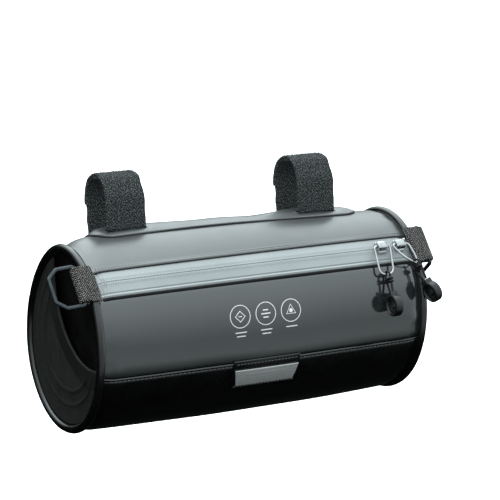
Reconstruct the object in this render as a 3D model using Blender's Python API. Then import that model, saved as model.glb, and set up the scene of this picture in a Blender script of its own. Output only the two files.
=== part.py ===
"""Roll-shaped bicycle handlebar bag, hung from the bar by two hook-and-loop straps.

Metres, +Z up. The origin is the handlebar's centre, midway between the straps, with
+X along the bar and -Y towards the front. Angles round the bag are in degrees: 0 is
level at the front, 90 is the top and 180 is level at the rear.
"""
import bpy
import bmesh
from math import asin, atan2, acos, cos, degrees, pi, radians, sin, sqrt
from mathutils import Matrix, Vector

GAP = 0.0003

# The handlebar that the bag hangs from
BAR_RADIUS = 0.0159

# The bag's place under the bar, at the middle of its axis
BAG_SHIFT_X = 0.004
BAG_FORWARD = 0.017
BAG_DROP = 0.089

# The roll
BAG_LENGTH = 0.2542
BODY_RADIUS = 0.0625
WALL = 0.0020
SAG = 0.0025
RIGHT_END_RISE = 0.0026
END_TUCK = 0.0018
END_TUCK_RUN = 0.009
STRAP_PULL = 0.0044
STRAP_PULL_ANGLE = 92.0
STRAP_PULL_HALF_ANGLE = 36.0
STRAP_PULL_END_RUN = 0.016
STRAP_PULL_FADE = (-0.32, 0.87)
PIPING_RADIUS = 0.0030
PIPING_PROUD = 0.0020
CAP_RECESS = 0.0060
CAP_THICKNESS = 0.0015
CAP_HOLLOW = 0.0030

# Each harmonic of the roll's slightly oval section: cosine and sine shares of its radius
OVAL = (
    (2, -0.020, 0.048),
    (3, -0.008, -0.015),
)

# Seams round the roll
ZIP_TOP_ANGLE = 54.8
ZIP_ANGLE = 47.6
ZIP_LOW_ANGLE = 37.0
GUARD_FRONT_ANGLE = -13.2
GUARD_BACK_ANGLE = -166.0
TAPE_THICKNESS = 0.0012
TAPE_SET_BACK = 0.0005
GUARD_PROUD = 0.0004

# The mesh pocket on each end: an elastic mouth curved round a centre above the front
POCKET_THICKNESS = 0.0010
POCKET_MOUTH_RADIUS = 0.059
POCKET_MOUTH_FORWARD = 0.042
POCKET_MOUTH_HEIGHT = 0.048
POCKET_SET_BACK = 0.0030
POCKET_BULGE = 0.0016
POCKET_END_MARGIN = 1.0
MOUTH_SIDE_ANGLE = 60.0
MOUTH_SEARCH_ANGLES = (200.0, -120.0)

# The reinforced strip along the top
STRIP_LENGTH = 0.205
STRIP_ANGLE = 103.2
STRIP_HALF_ANGLE = 20.5
STRIP_THICKNESS = 0.0016
STRIP_CROWN = 0.0012
STRIP_STRAP_CROWN = 0.0030
STRIP_STRAP_REACH = 0.052
STRIP_CORNER = 0.012
STRIP_EDGE_ROW = 0.4
SLOT_INNER_ROOM = 0.0044
SLOT_OUTER_ROOM = 0.0017
SLOT_END_ROOM = 0.0006

# The hook-and-loop straps
STRAP_SPACING = 0.148
STRAP_WIDTH = 0.0285
STRAP_THICKNESS = 0.0018
STRAP_BEND = 0.0025
STRAP_FRONT_ANGLE = 88.5
STRAP_REAR_ANGLE = 118.0
STRAP_LAP_START = 100.0
STRAP_LAP_END = -14.0
STRAP_LAP_RAMP = (12, 44)

# The webbing loops and the D-rings in them
WEBBING_ANGLE = 47.0
WEBBING_WIDTH = 0.025
WEBBING_THICKNESS = 0.0015
WEBBING_REACH_IN = 0.0058
RING_BAR_OUT = 0.0052
RING_BAR_RADIUS = 0.0014
RING_DEPTH = 0.0185
RING_SIDE_ROOM = 0.0008
RING_SHOULDER = 0.0120
RING_OUTER_HALF = 0.0088
RING_CORNER = 0.0020
RING_THICKNESS_SHARE = 0.85
LEFT_RING_LEAN = 8.0
RIGHT_RING_LEAN = 90.0

# The zip's sliders, wire loops, cords and moulded ends
SLIDER_LENGTH = 0.0070
SLIDER_WIDTH = 0.0092
SLIDER_BASE = 0.0018
SLIDER_HEIGHT = 0.0056
SLIDER_TUNNEL = 0.0013
SLIDER_TUNNEL_HEIGHT = 0.0032
WIRE_RADIUS = 0.0008
WIRE_TOP_HALF = 0.0064
WIRE_FOOT_HALF = 0.0054
WIRE_CORNER = 0.0022
WIRE_FOOT_ROUNDNESS = 0.86
PULL_CORD_RADIUS = 0.0008
PULL_END_RADIUS = 0.0076
PULL_END_THICKNESS = 0.0058
PULL_NECK_HALF = 0.0034
PULL_NECK_HEIGHT = 0.0096

# Each pull: slider's place along the bag, its loop's foot (place, angle, lift) and twist
PULLS = (
    {"place": 0.0968, "foot": (0.0940, 29.8, 0.0048), "twist": 0.0},
    {"place": 0.1117, "foot": (0.1170, 34.5, 0.0068), "twist": 34.0},
)

# Each pull cord's route, from the moulded end over the wire loop and back
CORD_ROUTES = (
    (
        (0.0980, -0.0848, -0.0648),
        (0.0980, -0.0835, -0.0610),
        (0.0980, -0.0822, -0.0573),
        (0.0980, -0.0807, -0.0542),
        (0.0980, -0.0789, -0.0526),
        (0.0980, -0.0764, -0.0528),
        (0.0980, -0.0748, -0.0547),
        (0.0980, -0.0751, -0.0571),
        (0.0980, -0.0767, -0.0601),
        (0.0980, -0.0790, -0.0633),
        (0.0980, -0.0814, -0.0666),
    ),
    (
        (0.1258, -0.0839, -0.0592),
        (0.1249, -0.0821, -0.0551),
        (0.1243, -0.0800, -0.0511),
        (0.1235, -0.0780, -0.0479),
        (0.1221, -0.0764, -0.0466),
        (0.1203, -0.0748, -0.0471),
        (0.1192, -0.0741, -0.0491),
        (0.1194, -0.0746, -0.0515),
        (0.1212, -0.0761, -0.0546),
        (0.1237, -0.0782, -0.0579),
        (0.1258, -0.0806, -0.0610),
    ),
)

# The reflector on the guard panel: places along the bag and angles round it
REFLECTOR_CENTRE = -0.0015
TAB_LENGTH = 0.051
TAB_TOP_ANGLE = -11.6
TAB_LOW_ANGLE = -31.5
PATCH_TOP_LENGTH = 0.049
PATCH_LOW_LENGTH = 0.044
PATCH_TOP_ANGLE = -17.6
PATCH_LOW_ANGLE = -29.0
BADGE_THICKNESS = 0.0010

HALF_LENGTH = BAG_LENGTH / 2
PANEL_END = HALF_LENGTH - 2 * PIPING_RADIUS - GAP
BAG_AXIS = Vector((BAG_SHIFT_X, -BAG_FORWARD, -BAG_DROP))
SEAM = degrees(GAP / BODY_RADIUS)


def remove_everything():
    for thing in list(bpy.data.objects):
        bpy.data.objects.remove(thing)


def material(name, colour, roughness, metallic=0.0):
    made = bpy.data.materials.new(name)
    made.use_nodes = True
    shader = made.node_tree.nodes["Principled BSDF"]
    shader.inputs["Base Color"].default_value = (*colour, 1.0)
    shader.inputs["Roughness"].default_value = roughness
    shader.inputs["Metallic"].default_value = metallic
    return made


def make_materials():
    return {
        "coated_grey": material("coated_grey", (0.20, 0.22, 0.23), 0.38),
        "zip_grey": material("zip_grey", (0.32, 0.34, 0.35), 0.42),
        "gloss_black": material("gloss_black", (0.010, 0.010, 0.011), 0.18),
        "mesh_black": material("mesh_black", (0.020, 0.018, 0.017), 0.80),
        "hook_and_loop": material("hook_and_loop", (0.012, 0.012, 0.013), 0.92),
        "webbing": material("webbing", (0.040, 0.034, 0.030), 0.80),
        "ring_grey": material("ring_grey", (0.16, 0.18, 0.20), 0.38, 0.6),
        "silver": material("silver", (0.72, 0.73, 0.74), 0.16, 1.0),
        "pull_black": material("pull_black", (0.018, 0.018, 0.020), 0.45),
        "reflective": material("reflective", (0.42, 0.43, 0.44), 0.40, 0.3),
    }


def finish(name, mesh, look, parent, smooth_angle=35.0):
    """Turns a bmesh into a named object with its material."""
    bmesh.ops.recalc_face_normals(mesh, faces=mesh.faces)
    if mesh.calc_volume(signed=True) < 0:
        bmesh.ops.reverse_faces(mesh, faces=mesh.faces)
    data = bpy.data.meshes.new(name)
    mesh.to_mesh(data)
    mesh.free()
    data.shade_smooth()
    data.set_sharp_from_angle(angle=radians(smooth_angle))
    made = bpy.data.objects.new(name, data)
    bpy.context.collection.objects.link(made)
    data.materials.append(look)
    made.parent = parent
    return made


def spread(low, high, steps):
    return [low + (high - low) * k / steps for k in range(steps + 1)]


def oval_share(theta):
    share = 1.0
    for harmonic, cosine, sine in OVAL:
        turn = radians(harmonic * theta)
        share += cosine * cos(turn) + sine * sin(turn)
    return share


def rim_radius(x, theta):
    """The roll's radius without its sag and its tucked-in ends."""
    along = max(-1.0, min(1.0, x / HALF_LENGTH))
    rise = RIGHT_END_RISE * (0.5 + 0.5 * along) * max(0.0, sin(radians(theta))) ** 2
    return BODY_RADIUS * oval_share(theta) + rise


def strap_pull(x, theta):
    """How far the straps pull the wrap's top outwards: most at the left, none at the right."""
    off = min(1.0, abs(theta - STRAP_PULL_ANGLE) / STRAP_PULL_HALF_ANGLE)
    from_end = min(1.0, max(0.0, PANEL_END - abs(x)) / STRAP_PULL_END_RUN)
    first, last = STRAP_PULL_FADE
    fade = min(1.0, max(0.0, (x / HALF_LENGTH - first) / (last - first)))
    left_share = 1 - fade * fade * (3 - 2 * fade)
    return STRAP_PULL * cos(pi / 2 * off) ** 2 * sin(pi / 2 * from_end) * left_share


def shell_radius(x, theta):
    """The outer radius of the wrap at a place along the bag and an angle round it."""
    along = max(-1.0, min(1.0, x / HALF_LENGTH))
    low_weight = 0.35 + 0.65 * (1 - sin(radians(theta))) / 2
    sag = SAG * (1 - along ** 2) * low_weight
    into_end = max(0.0, abs(x) - (PANEL_END - END_TUCK_RUN)) / END_TUCK_RUN
    lift = sag + strap_pull(x, theta)
    return rim_radius(x, theta) + lift - END_TUCK * min(1.0, into_end) ** 2


def around(x, theta, radius):
    turn = radians(theta)
    return Vector((x, -radius * cos(turn), radius * sin(turn)))


def on_shell(x, theta, lift=0.0):
    return around(x, theta, shell_radius(x, theta) + lift)


def outward(theta):
    return around(0.0, theta, 1.0)


def panel_places():
    """Places along the bag, closer together where the panels tuck in at the ends."""
    tuck = spread(PANEL_END - END_TUCK_RUN, PANEL_END, 2)
    middle = spread(-tuck[0], tuck[0], 6)
    return [-x for x in reversed(tuck[1:])] + middle + tuck[1:]


def grid_solid(name, outer, inner, look, parent, kept=None):
    """A closed wall between two grids of points, cut through where a cell isn't kept."""
    rows = len(outer) - 1
    columns = len(outer[0]) - 1
    mesh = bmesh.new()
    above = [[mesh.verts.new(point) for point in row] for row in outer]
    below = [[mesh.verts.new(point) for point in row] for row in inner]

    def solid(i, j):
        inside = 0 <= i < rows and 0 <= j < columns
        return inside and (kept is None or kept(i, j))

    for i in range(rows):
        for j in range(columns):
            if not solid(i, j):
                continue
            corners = ((i, j), (i, j + 1), (i + 1, j + 1), (i + 1, j))
            beyond = ((i - 1, j), (i, j + 1), (i + 1, j), (i, j - 1))
            mesh.faces.new([above[a][b] for a, b in corners])
            mesh.faces.new([below[a][b] for a, b in reversed(corners)])
            for k, (a, b) in enumerate(corners):
                if not solid(*beyond[k]):
                    c, d = corners[(k + 1) % 4]
                    mesh.faces.new((above[c][d], above[a][b], below[a][b], below[c][d]))
    loose = [vertex for vertex in mesh.verts if not vertex.link_faces]
    bmesh.ops.delete(mesh, geom=loose, context="VERTS")
    return finish(name, mesh, look, parent)


def sweep(name, points, across, profile, look, parent, closed=False):
    """Sweeps a profile of (in plane, across) offsets along points; across has a vector each."""
    mesh = bmesh.new()
    count = len(points)
    rings = []
    for k, point in enumerate(points):
        before = points[k - 1] if closed or k > 0 else point
        after = points[(k + 1) % count] if closed or k < count - 1 else point
        along = (after - before).normalized()
        side = (across[k] - along * across[k].dot(along)).normalized()
        normal = side.cross(along)
        rings.append([mesh.verts.new(point + normal * a + side * b) for a, b in profile])
    for k in range(count if closed else count - 1):
        ring, following = rings[k], rings[(k + 1) % count]
        for m in range(len(profile)):
            n = (m + 1) % len(profile)
            mesh.faces.new((ring[m], ring[n], following[n], following[m]))
    if not closed:
        mesh.faces.new(rings[0])
        mesh.faces.new(list(reversed(rings[-1])))
    return finish(name, mesh, look, parent, 50.0)


def round_profile(half, across_half, sides):
    turns = [2 * pi * (k + 0.5) / sides for k in range(sides)]
    return [(half * cos(turn), across_half * sin(turn)) for turn in turns]


def rounded(corners, radius, steps, closed):
    """A path through the corners with an arc of the given radius at each inner corner."""
    count = len(corners)
    path = []
    for k, corner in enumerate(corners):
        if not closed and k in (0, count - 1):
            path.append(corner)
            continue
        back = (corners[k - 1] - corner).normalized()
        ahead = (corners[(k + 1) % count] - corner).normalized()
        half = acos(max(-1.0, min(1.0, back.dot(ahead)))) / 2
        centre = corner + (back + ahead).normalized() * (radius / sin(half))
        first = corner + back * (radius * cos(half) / sin(half)) - centre
        last = corner + ahead * (radius * cos(half) / sin(half)) - centre
        for share in spread(0.0, 1.0, steps):
            path.append(centre + first.slerp(last, share).normalized() * radius)
    return path


def skin(name, theta_low, theta_high, lift, wall, look, parent, steps):
    """One panel of the wrap between two seams."""
    places = panel_places()
    angles = spread(theta_low + SEAM / 2, theta_high - SEAM / 2, steps)
    outer = [[on_shell(x, theta, lift) for x in places] for theta in angles]
    inner = [[on_shell(x, theta, lift - wall) for x in places] for theta in angles]
    return grid_solid(name, outer, inner, look, parent)


def make_wrap(looks, bag):
    grey, tape = looks["coated_grey"], looks["zip_grey"]
    back = GUARD_BACK_ANGLE + 360
    skin("top_panel", ZIP_TOP_ANGLE, back, 0.0, WALL, grey, bag, 19)
    skin("front_panel", GUARD_FRONT_ANGLE, ZIP_LOW_ANGLE, 0.0, WALL, grey, bag, 7)
    skin("lower_panel", GUARD_BACK_ANGLE, GUARD_FRONT_ANGLE, GUARD_PROUD, WALL,
         looks["gloss_black"], bag, 21)
    set_back = -TAPE_SET_BACK
    skin("zip_tape_upper", ZIP_ANGLE, ZIP_TOP_ANGLE, set_back, TAPE_THICKNESS, tape, bag, 2)
    skin("zip_tape_lower", ZIP_LOW_ANGLE, ZIP_ANGLE, set_back, TAPE_THICKNESS, tape, bag, 2)


def bead_centre(side, theta):
    x = side * (HALF_LENGTH - PIPING_RADIUS)
    return around(x, theta, rim_radius(x, theta) + PIPING_PROUD - PIPING_RADIUS)


def make_piping(side, label, looks, bag):
    angles = [360 * k / 44 for k in range(44)]
    path = [bead_centre(side, theta) for theta in angles]
    across = [Vector((1, 0, 0))] * len(path)
    profile = round_profile(PIPING_RADIUS, PIPING_RADIUS, 8)
    sweep("piping_" + label, path, across, profile, looks["gloss_black"], bag, closed=True)


def make_end_cap(side, label, looks, bag):
    """A round end, hollowed a little towards its middle, inside the wrap."""
    angles = [360 * k / 44 for k in range(44)]
    shares = (1.0, 0.72, 0.36)
    mesh = bmesh.new()
    faces_x = (HALF_LENGTH - CAP_RECESS, HALF_LENGTH - CAP_RECESS - CAP_THICKNESS)
    sheets = []
    for face_x in faces_x:
        rings = []
        for share in shares:
            x = side * (face_x - CAP_HOLLOW * (1 - share ** 2))
            edge = [shell_radius(side * PANEL_END, theta) - WALL - GAP for theta in angles]
            rings.append([mesh.verts.new(around(x, theta, reach * share))
                          for theta, reach in zip(angles, edge)])
        centre = mesh.verts.new((side * (face_x - CAP_HOLLOW), 0, 0))
        sheets.append(rings)
        for k in range(len(angles)):
            n = (k + 1) % len(angles)
            for ring, inner in zip(rings, rings[1:]):
                mesh.faces.new((ring[k], ring[n], inner[n], inner[k]))
            mesh.faces.new((rings[-1][k], rings[-1][n], centre))
    for k in range(len(angles)):
        n = (k + 1) % len(angles)
        front, back = sheets[0][0], sheets[1][0]
        mesh.faces.new((front[k], front[n], back[n], back[k]))
    finish("end_cap_" + label, mesh, looks["gloss_black"], bag)


def pocket_edge(side, theta):
    """The pocket's outer edge, just inside the piping."""
    bead = bead_centre(side, theta)
    reach = sqrt(bead.y ** 2 + bead.z ** 2) - PIPING_RADIUS - 2 * GAP
    return around(0.0, theta, reach)


def mouth_angle(side, low, high):
    """The angle between low and high where the mouth's curve meets the pocket's edge."""
    centre = Vector((0, -POCKET_MOUTH_FORWARD, POCKET_MOUTH_HEIGHT))
    for _ in range(40):
        middle = (low + high) / 2
        inside = (pocket_edge(side, middle) - centre).length < POCKET_MOUTH_RADIUS
        low, high = (middle, high) if inside else (low, middle)
    return (low + high) / 2


def make_mesh_pocket(side, label, looks, bag):
    """Stretch mesh over the lower rear of an end, from its piping to an elastic mouth."""
    centre = Vector((0, -POCKET_MOUTH_FORWARD, POCKET_MOUTH_HEIGHT))
    rear, under = (mouth_angle(side, MOUTH_SIDE_ANGLE, far) for far in MOUTH_SEARCH_ANGLES)
    first, last = rear + POCKET_END_MARGIN, 360 + under - POCKET_END_MARGIN
    face_x = HALF_LENGTH - POCKET_SET_BACK
    outer, inner = [], []
    for theta in spread(first, last, 18):
        edge = pocket_edge(side, theta)
        mouth = centre + (edge - centre).normalized() * POCKET_MOUTH_RADIUS
        row_out, row_in = [], []
        for share in spread(0.0, 1.0, 3):
            point = edge.lerp(mouth, share)
            x = face_x + POCKET_BULGE * sin(pi * share / 2) * 0.5
            row_out.append(Vector((side * x, point.y, point.z)))
            row_in.append(Vector((side * (x - POCKET_THICKNESS), point.y, point.z)))
        outer.append(row_out)
        inner.append(row_in)
    grid_solid("mesh_pocket_" + label, outer, inner, looks["mesh_black"], bag)


def strap_places():
    """The straps' middles, measured along the bag from its own middle."""
    return [side * STRAP_SPACING / 2 - BAG_SHIFT_X for side in (-1, 1)]


def strip_lift(x, theta):
    """How far the strip's underside stands off the wrap."""
    crown = STRIP_CROWN
    for place in strap_places():
        near = max(0.0, 1 - abs(x - place) / STRIP_STRAP_REACH)
        crown += STRIP_STRAP_CROWN * sin(pi / 2 * near) ** 2
    to_end = min(1.0, max(0.0, (STRIP_LENGTH / 2 - abs(x)) / STRIP_CORNER))
    width_share = (theta - STRIP_ANGLE) / STRIP_HALF_ANGLE
    return GAP + crown * to_end * (2 - to_end) * max(0.0, 1 - width_share ** 2)


def strip_end(theta):
    """Half the strip's length at an angle: its four corners are rounded."""
    radius = BODY_RADIUS
    off_edge = radians(STRIP_HALF_ANGLE - abs(theta - STRIP_ANGLE)) * radius
    into_corner = max(0.0, STRIP_CORNER - off_edge)
    return STRIP_LENGTH / 2 - STRIP_CORNER + sqrt(STRIP_CORNER ** 2 - into_corner ** 2)


def make_mount_strip(looks, bag):
    inner_room = degrees(SLOT_INNER_ROOM / BODY_RADIUS)
    outer_room = degrees(SLOT_OUTER_ROOM / BODY_RADIUS)
    low, high = STRIP_ANGLE - STRIP_HALF_ANGLE, STRIP_ANGLE + STRIP_HALF_ANGLE
    front_slot = (STRAP_FRONT_ANGLE - outer_room, STRAP_FRONT_ANGLE + inner_room)
    rear_slot = (STRAP_REAR_ANGLE - inner_room, STRAP_REAR_ANGLE + outer_room)
    angles = [low, low + (front_slot[0] - low) * STRIP_EDGE_ROW]
    angles += [*front_slot, *spread(front_slot[1], rear_slot[0], 4)[1:-1], *rear_slot]
    angles += [high - (high - rear_slot[1]) * STRIP_EDGE_ROW, high]
    slot_rows = (angles.index(front_slot[0]), angles.index(rear_slot[0]))
    half_slot = STRAP_WIDTH / 2 + SLOT_END_ROOM
    left, right = strap_places()
    inner_places = [left - half_slot, left, left + half_slot]
    inner_places += spread(left + half_slot, right - half_slot, 6)[1:-1]
    inner_places += [right - half_slot, right, right + half_slot]

    def places(theta):
        end = strip_end(theta)
        first, last = inner_places[0], inner_places[-1]
        return [-end, (-end + first) / 2, *inner_places, (end + last) / 2, end]

    slot_starts = [places(STRIP_ANGLE).index(place - half_slot) for place in (left, right)]
    slot_columns = [start + half for start in slot_starts for half in (0, 1)]

    def kept(i, j):
        return i not in slot_rows or j not in slot_columns

    outer, inner = [], []
    for theta in angles:
        outer.append([on_shell(x, theta, strip_lift(x, theta) + STRIP_THICKNESS)
                      for x in places(theta)])
        inner.append([on_shell(x, theta, strip_lift(x, theta)) for x in places(theta)])
    grid_solid("mount_strip", outer, inner, looks["coated_grey"], bag, kept)


def arc(radius_at, start, end, steps):
    """Points round the bar; angles from level at the rear, upwards."""
    points = []
    for turn in spread(start, end, steps):
        reach = radius_at(turn)
        points.append(Vector((0, reach * cos(radians(turn)), reach * sin(radians(turn)))))
    return points


def make_strap(place, label, looks, bar):
    """A band round the bar, down through the strip and back, with its end lapped on top."""
    inner_reach = BAR_RADIUS + GAP + STRAP_THICKNESS / 2
    outer_reach = inner_reach + STRAP_THICKNESS + GAP
    under = GAP + STRAP_THICKNESS / 2
    across_strap = [place - BAG_SHIFT_X + side * STRAP_WIDTH / 2 for side in (-1, 0, 1)]
    run = []
    for theta in spread(STRAP_REAR_ANGLE, STRAP_FRONT_ANGLE, 8):
        highest = max(shell_radius(x, theta) for x in across_strap)
        point = around(0.0, theta, highest + under) + BAG_AXIS
        run.append(Vector((0, point.y, point.z)))

    def touching(point, side):
        towards = degrees(atan2(point.z, point.y))
        return towards + side * degrees(acos(inner_reach / point.length))

    rear, front = touching(run[0], 1), touching(run[-1], -1) + 360
    lap = [STRAP_LAP_START + ramp for ramp in STRAP_LAP_RAMP]

    def wrap_reach(turn):
        share = max(0.0, min(1.0, (lap[1] - turn) / (lap[1] - lap[0])))
        return inner_reach + (outer_reach - inner_reach) * share * share * (3 - 2 * share)

    first = arc(lambda turn: inner_reach, STRAP_LAP_START, rear, 12)
    last = arc(wrap_reach, front, STRAP_LAP_END, 24)
    bends = rounded([first[-1], run[0], *run[1:-1], run[-1], last[0]], STRAP_BEND, 4, False)
    path = first[:-1] + bends + last[1:]
    profile_half = (STRAP_THICKNESS / 2, STRAP_WIDTH / 2)
    profile = [(a * profile_half[0], b * profile_half[1])
               for a, b in ((-1, -1), (1, -1), (1, 1), (-1, 1))]
    across = [Vector((1, 0, 0))] * len(path)
    made = sweep("strap_" + label, path, across, profile, looks["hook_and_loop"], bar)
    made.location = (place, 0, 0)


def ring_frame(side):
    """The D-ring's bar: its centre, its direction and the way out from the bag."""
    spread_angle = degrees(asin(WEBBING_WIDTH / 2 / BODY_RADIUS))
    low = bead_centre(side, WEBBING_ANGLE - spread_angle)
    high = bead_centre(side, WEBBING_ANGLE + spread_angle)
    along = (high - low).normalized()
    out = (outward(WEBBING_ANGLE) - along * outward(WEBBING_ANGLE).dot(along)).normalized()
    loop = RING_BAR_RADIUS + GAP + WEBBING_THICKNESS / 2
    over_bead = PIPING_RADIUS + GAP + WEBBING_THICKNESS / 2
    centre = bead_centre(side, WEBBING_ANGLE) + out * (over_bead - loop)
    centre.x = side * (HALF_LENGTH + RING_BAR_OUT)
    return centre, along, out


def make_webbing(side, label, looks, bag):
    """A short loop of webbing from the wrap over the piping and round the D-ring's bar."""
    centre, along, out = ring_frame(side)
    loop = RING_BAR_RADIUS + GAP + WEBBING_THICKNESS / 2
    over_bead = PIPING_RADIUS + GAP + WEBBING_THICKNESS / 2
    spread_angle = degrees(asin(WEBBING_WIDTH / 2 / BODY_RADIUS))
    middle = bead_centre(side, WEBBING_ANGLE)
    half = WEBBING_THICKNESS / 2
    outer, inner = [], []
    for theta in spread(WEBBING_ANGLE - spread_angle, WEBBING_ANGLE + spread_angle, 4):
        bead = bead_centre(side, theta)
        shift = along * (bead - middle).dot(along)
        path = []
        for x in (HALF_LENGTH - WEBBING_REACH_IN, PANEL_END):
            path.append(on_shell(side * x, theta, GAP + half + END_TUCK))
        for turn in (125, 90):
            off = outward(theta) * (over_bead * sin(radians(turn)))
            path.append(bead + off + Vector((side * over_bead * cos(radians(turn)), 0, 0)))
        for turn in (90, 60, 30, 0, -30, -60, -90):
            off = out * (loop * sin(radians(turn)))
            path.append(centre + shift + off + Vector((side * loop * cos(radians(turn)), 0, 0)))
        tail = centre + shift - out * loop
        tail.x = side * (HALF_LENGTH + 1.5 * GAP)
        path.append(tail)
        row_out, row_in = [], []
        for k, point in enumerate(path):
            step = path[min(k + 1, len(path) - 1)] - path[max(k - 1, 0)]
            normal = along.cross(step).normalized() * side
            row_out.append(point - normal * half)
            row_in.append(point + normal * half)
        outer.append(row_out)
        inner.append(row_in)
    grid_solid("webbing_" + label, outer, inner, looks["webbing"], bag)


def make_ring(side, label, lean, looks, bag):
    """A D-ring; its object's origin is on the bar, which is its hinge."""
    centre, along, out = ring_frame(side)
    half = WEBBING_WIDTH / 2 + RING_SIDE_ROOM + RING_BAR_RADIUS
    corners = [
        Vector((-half, 0, 0)),
        Vector((half, 0, 0)),
        Vector((half, RING_SHOULDER, 0)),
        Vector((RING_OUTER_HALF, RING_DEPTH, 0)),
        Vector((-RING_OUTER_HALF, RING_DEPTH, 0)),
        Vector((-half, RING_SHOULDER, 0)),
    ]
    path = rounded(corners, RING_CORNER, 3, True)
    across = [Vector((0, 0, 1))] * len(path)
    profile = round_profile(RING_BAR_RADIUS, RING_BAR_RADIUS * RING_THICKNESS_SHARE, 8)
    made = sweep("dring_" + label, path, across, profile, looks["ring_grey"], bag, closed=True)
    turn = radians(lean)
    reach = Vector((side, 0, 0)) * cos(turn) - out * sin(turn)
    normal = along.cross(reach)
    made.location = centre
    made.rotation_euler = Matrix((along, reach, normal)).transposed().to_euler()


def slider_frame(pull):
    """The slider's base centre on the zip, the way down the front and the way out."""
    up = outward(ZIP_ANGLE)
    down = Vector((0, -up.z, up.y))
    centre = on_shell(pull["place"], ZIP_ANGLE, GAP)
    return centre, down, up


def make_slider(pull, label, looks, bag):
    """A slider body with a tunnel along the bag, which the wire loop passes through."""
    centre, down, up = slider_frame(pull)
    half, base, height = SLIDER_WIDTH / 2, SLIDER_BASE, SLIDER_HEIGHT
    right = [(half, 0), (half, base), (half * 0.78, base * 1.4), (half * 0.66, height * 0.78),
             (half * 0.34, height)]
    outline = right + [(-a, b) for a, b in reversed(right)]
    mesh = bmesh.new()
    ends = []
    for x in (-SLIDER_LENGTH / 2, SLIDER_LENGTH / 2):
        shift = centre + Vector((x, 0, 0))
        hole = []
        for k in range(len(outline)):
            turn = 2 * pi * (k - 1.5) / len(outline)
            hole.append((SLIDER_TUNNEL * cos(turn), SLIDER_TUNNEL_HEIGHT + SLIDER_TUNNEL * sin(turn)))
        rings = [[mesh.verts.new(shift + down * a + up * b) for a, b in loop]
                 for loop in (outline, hole)]
        ends.append(rings)
    count = len(outline)
    for k in range(count):
        n = (k + 1) % count
        for end in ends:
            mesh.faces.new((end[0][k], end[0][n], end[1][n], end[1][k]))
        for m in (0, 1):
            mesh.faces.new((ends[0][m][k], ends[0][m][n], ends[1][m][n], ends[1][m][k]))
    finish("zip_slider_" + label, mesh, looks["silver"], bag)


def make_pull_ring(pull, label, looks, bag):
    """A wire loop that hangs from the slider, twisted along its length where stated."""
    centre, down, up = slider_frame(pull)
    top = centre + up * SLIDER_TUNNEL_HEIGHT
    foot_x, foot_angle, foot_lift = pull["foot"]
    foot = on_shell(foot_x, foot_angle, foot_lift)
    length = (foot - top).length
    axis = (foot - top).normalized()
    half, low = WIRE_TOP_HALF, WIRE_FOOT_HALF
    corners = [Vector((half, 0, 0)), Vector((low, length, 0)), Vector((-low, length, 0)),
               Vector((-half, 0, 0))]
    steps = 4
    foot_path = rounded(corners, low * WIRE_FOOT_ROUNDNESS, steps, True)
    head_path = rounded(corners, WIRE_CORNER, steps, True)
    bend = steps + 1
    flat = head_path[:bend] + foot_path[bend:3 * bend] + head_path[3 * bend:]
    level = Vector((1, 0, 0))
    points, across = [], []
    for point in flat:
        turn = Matrix.Rotation(-radians(pull["twist"]) * (point.y / length) ** 2, 3, axis)
        wide = turn @ level
        points.append(top + wide * point.x + axis * point.y)
        across.append(turn @ level.cross(axis))
    profile = round_profile(WIRE_RADIUS, WIRE_RADIUS, 6)
    sweep("pull_ring_" + label, points, across, profile, looks["silver"], bag, closed=True)


def smooth_route(points, spacing):
    """A smooth curve through the points, read at about the given spacing."""
    result = []
    last = len(points) - 1
    for k in range(last):
        before, start = points[max(k - 1, 0)], points[k]
        end, after = points[k + 1], points[min(k + 2, last)]
        pieces = max(1, round((end - start).length / spacing))
        for share in spread(0.0, 1.0, pieces)[:-1]:
            bend = (2 * before - 5 * start + 4 * end - after) * share ** 2
            twist = (3 * start - before - 3 * end + after) * share ** 3
            result.append(start + ((end - before) * share + bend + twist) / 2)
    result.append(points[-1])
    return result


def make_pull_cord(route, label, looks, bar):
    curve = bpy.data.curves.new("pull_cord_" + label, "CURVE")
    curve.dimensions = "3D"
    curve.bevel_depth = PULL_CORD_RADIUS
    curve.bevel_resolution = 2
    curve.use_fill_caps = True
    points = smooth_route([Vector(point) for point in route], 4 * PULL_CORD_RADIUS)
    spline = curve.splines.new("POLY")
    spline.points.add(len(points) - 1)
    for made, point in zip(spline.points, points):
        made.co = (*point, 1.0)
    curve.materials.append(looks["pull_black"])
    cord = bpy.data.objects.new("pull_cord_" + label, curve)
    bpy.context.collection.objects.link(cord)
    cord.parent = bar


def make_pull_end(route, label, looks, bar):
    """A moulded disc on both ends of a pull cord, hanging in line with them."""
    first, last = Vector(route[0]), Vector(route[-1])
    up = ((Vector(route[1]) - first) + (Vector(route[-2]) - last)).normalized()
    sideways = (last - first) - up * (last - first).dot(up)
    sideways.normalize()
    flat = sideways.cross(up)
    centre = (first + last) / 2 - up * (PULL_NECK_HEIGHT + GAP)
    neck_turn = degrees(atan2(sqrt(PULL_END_RADIUS ** 2 - PULL_NECK_HALF ** 2), PULL_NECK_HALF))
    outline = [(PULL_NECK_HALF, PULL_NECK_HEIGHT), (-PULL_NECK_HALF, PULL_NECK_HEIGHT)]
    for turn in spread(180 - neck_turn, 360 + neck_turn, 18):
        outline.append((PULL_END_RADIUS * cos(radians(turn)), PULL_END_RADIUS * sin(radians(turn))))
    mesh = bmesh.new()
    sheets = []
    for offset in (-PULL_END_THICKNESS / 2, PULL_END_THICKNESS / 2):
        sheets.append([mesh.verts.new(centre + flat * offset + sideways * a + up * b)
                       for a, b in outline])
    for sheet in sheets:
        mesh.faces.new(sheet)
    for k in range(len(outline)):
        n = (k + 1) % len(outline)
        mesh.faces.new((sheets[0][k], sheets[0][n], sheets[1][n], sheets[1][k]))
    finish("pull_end_" + label, mesh, looks["pull_black"], bar)


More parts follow.
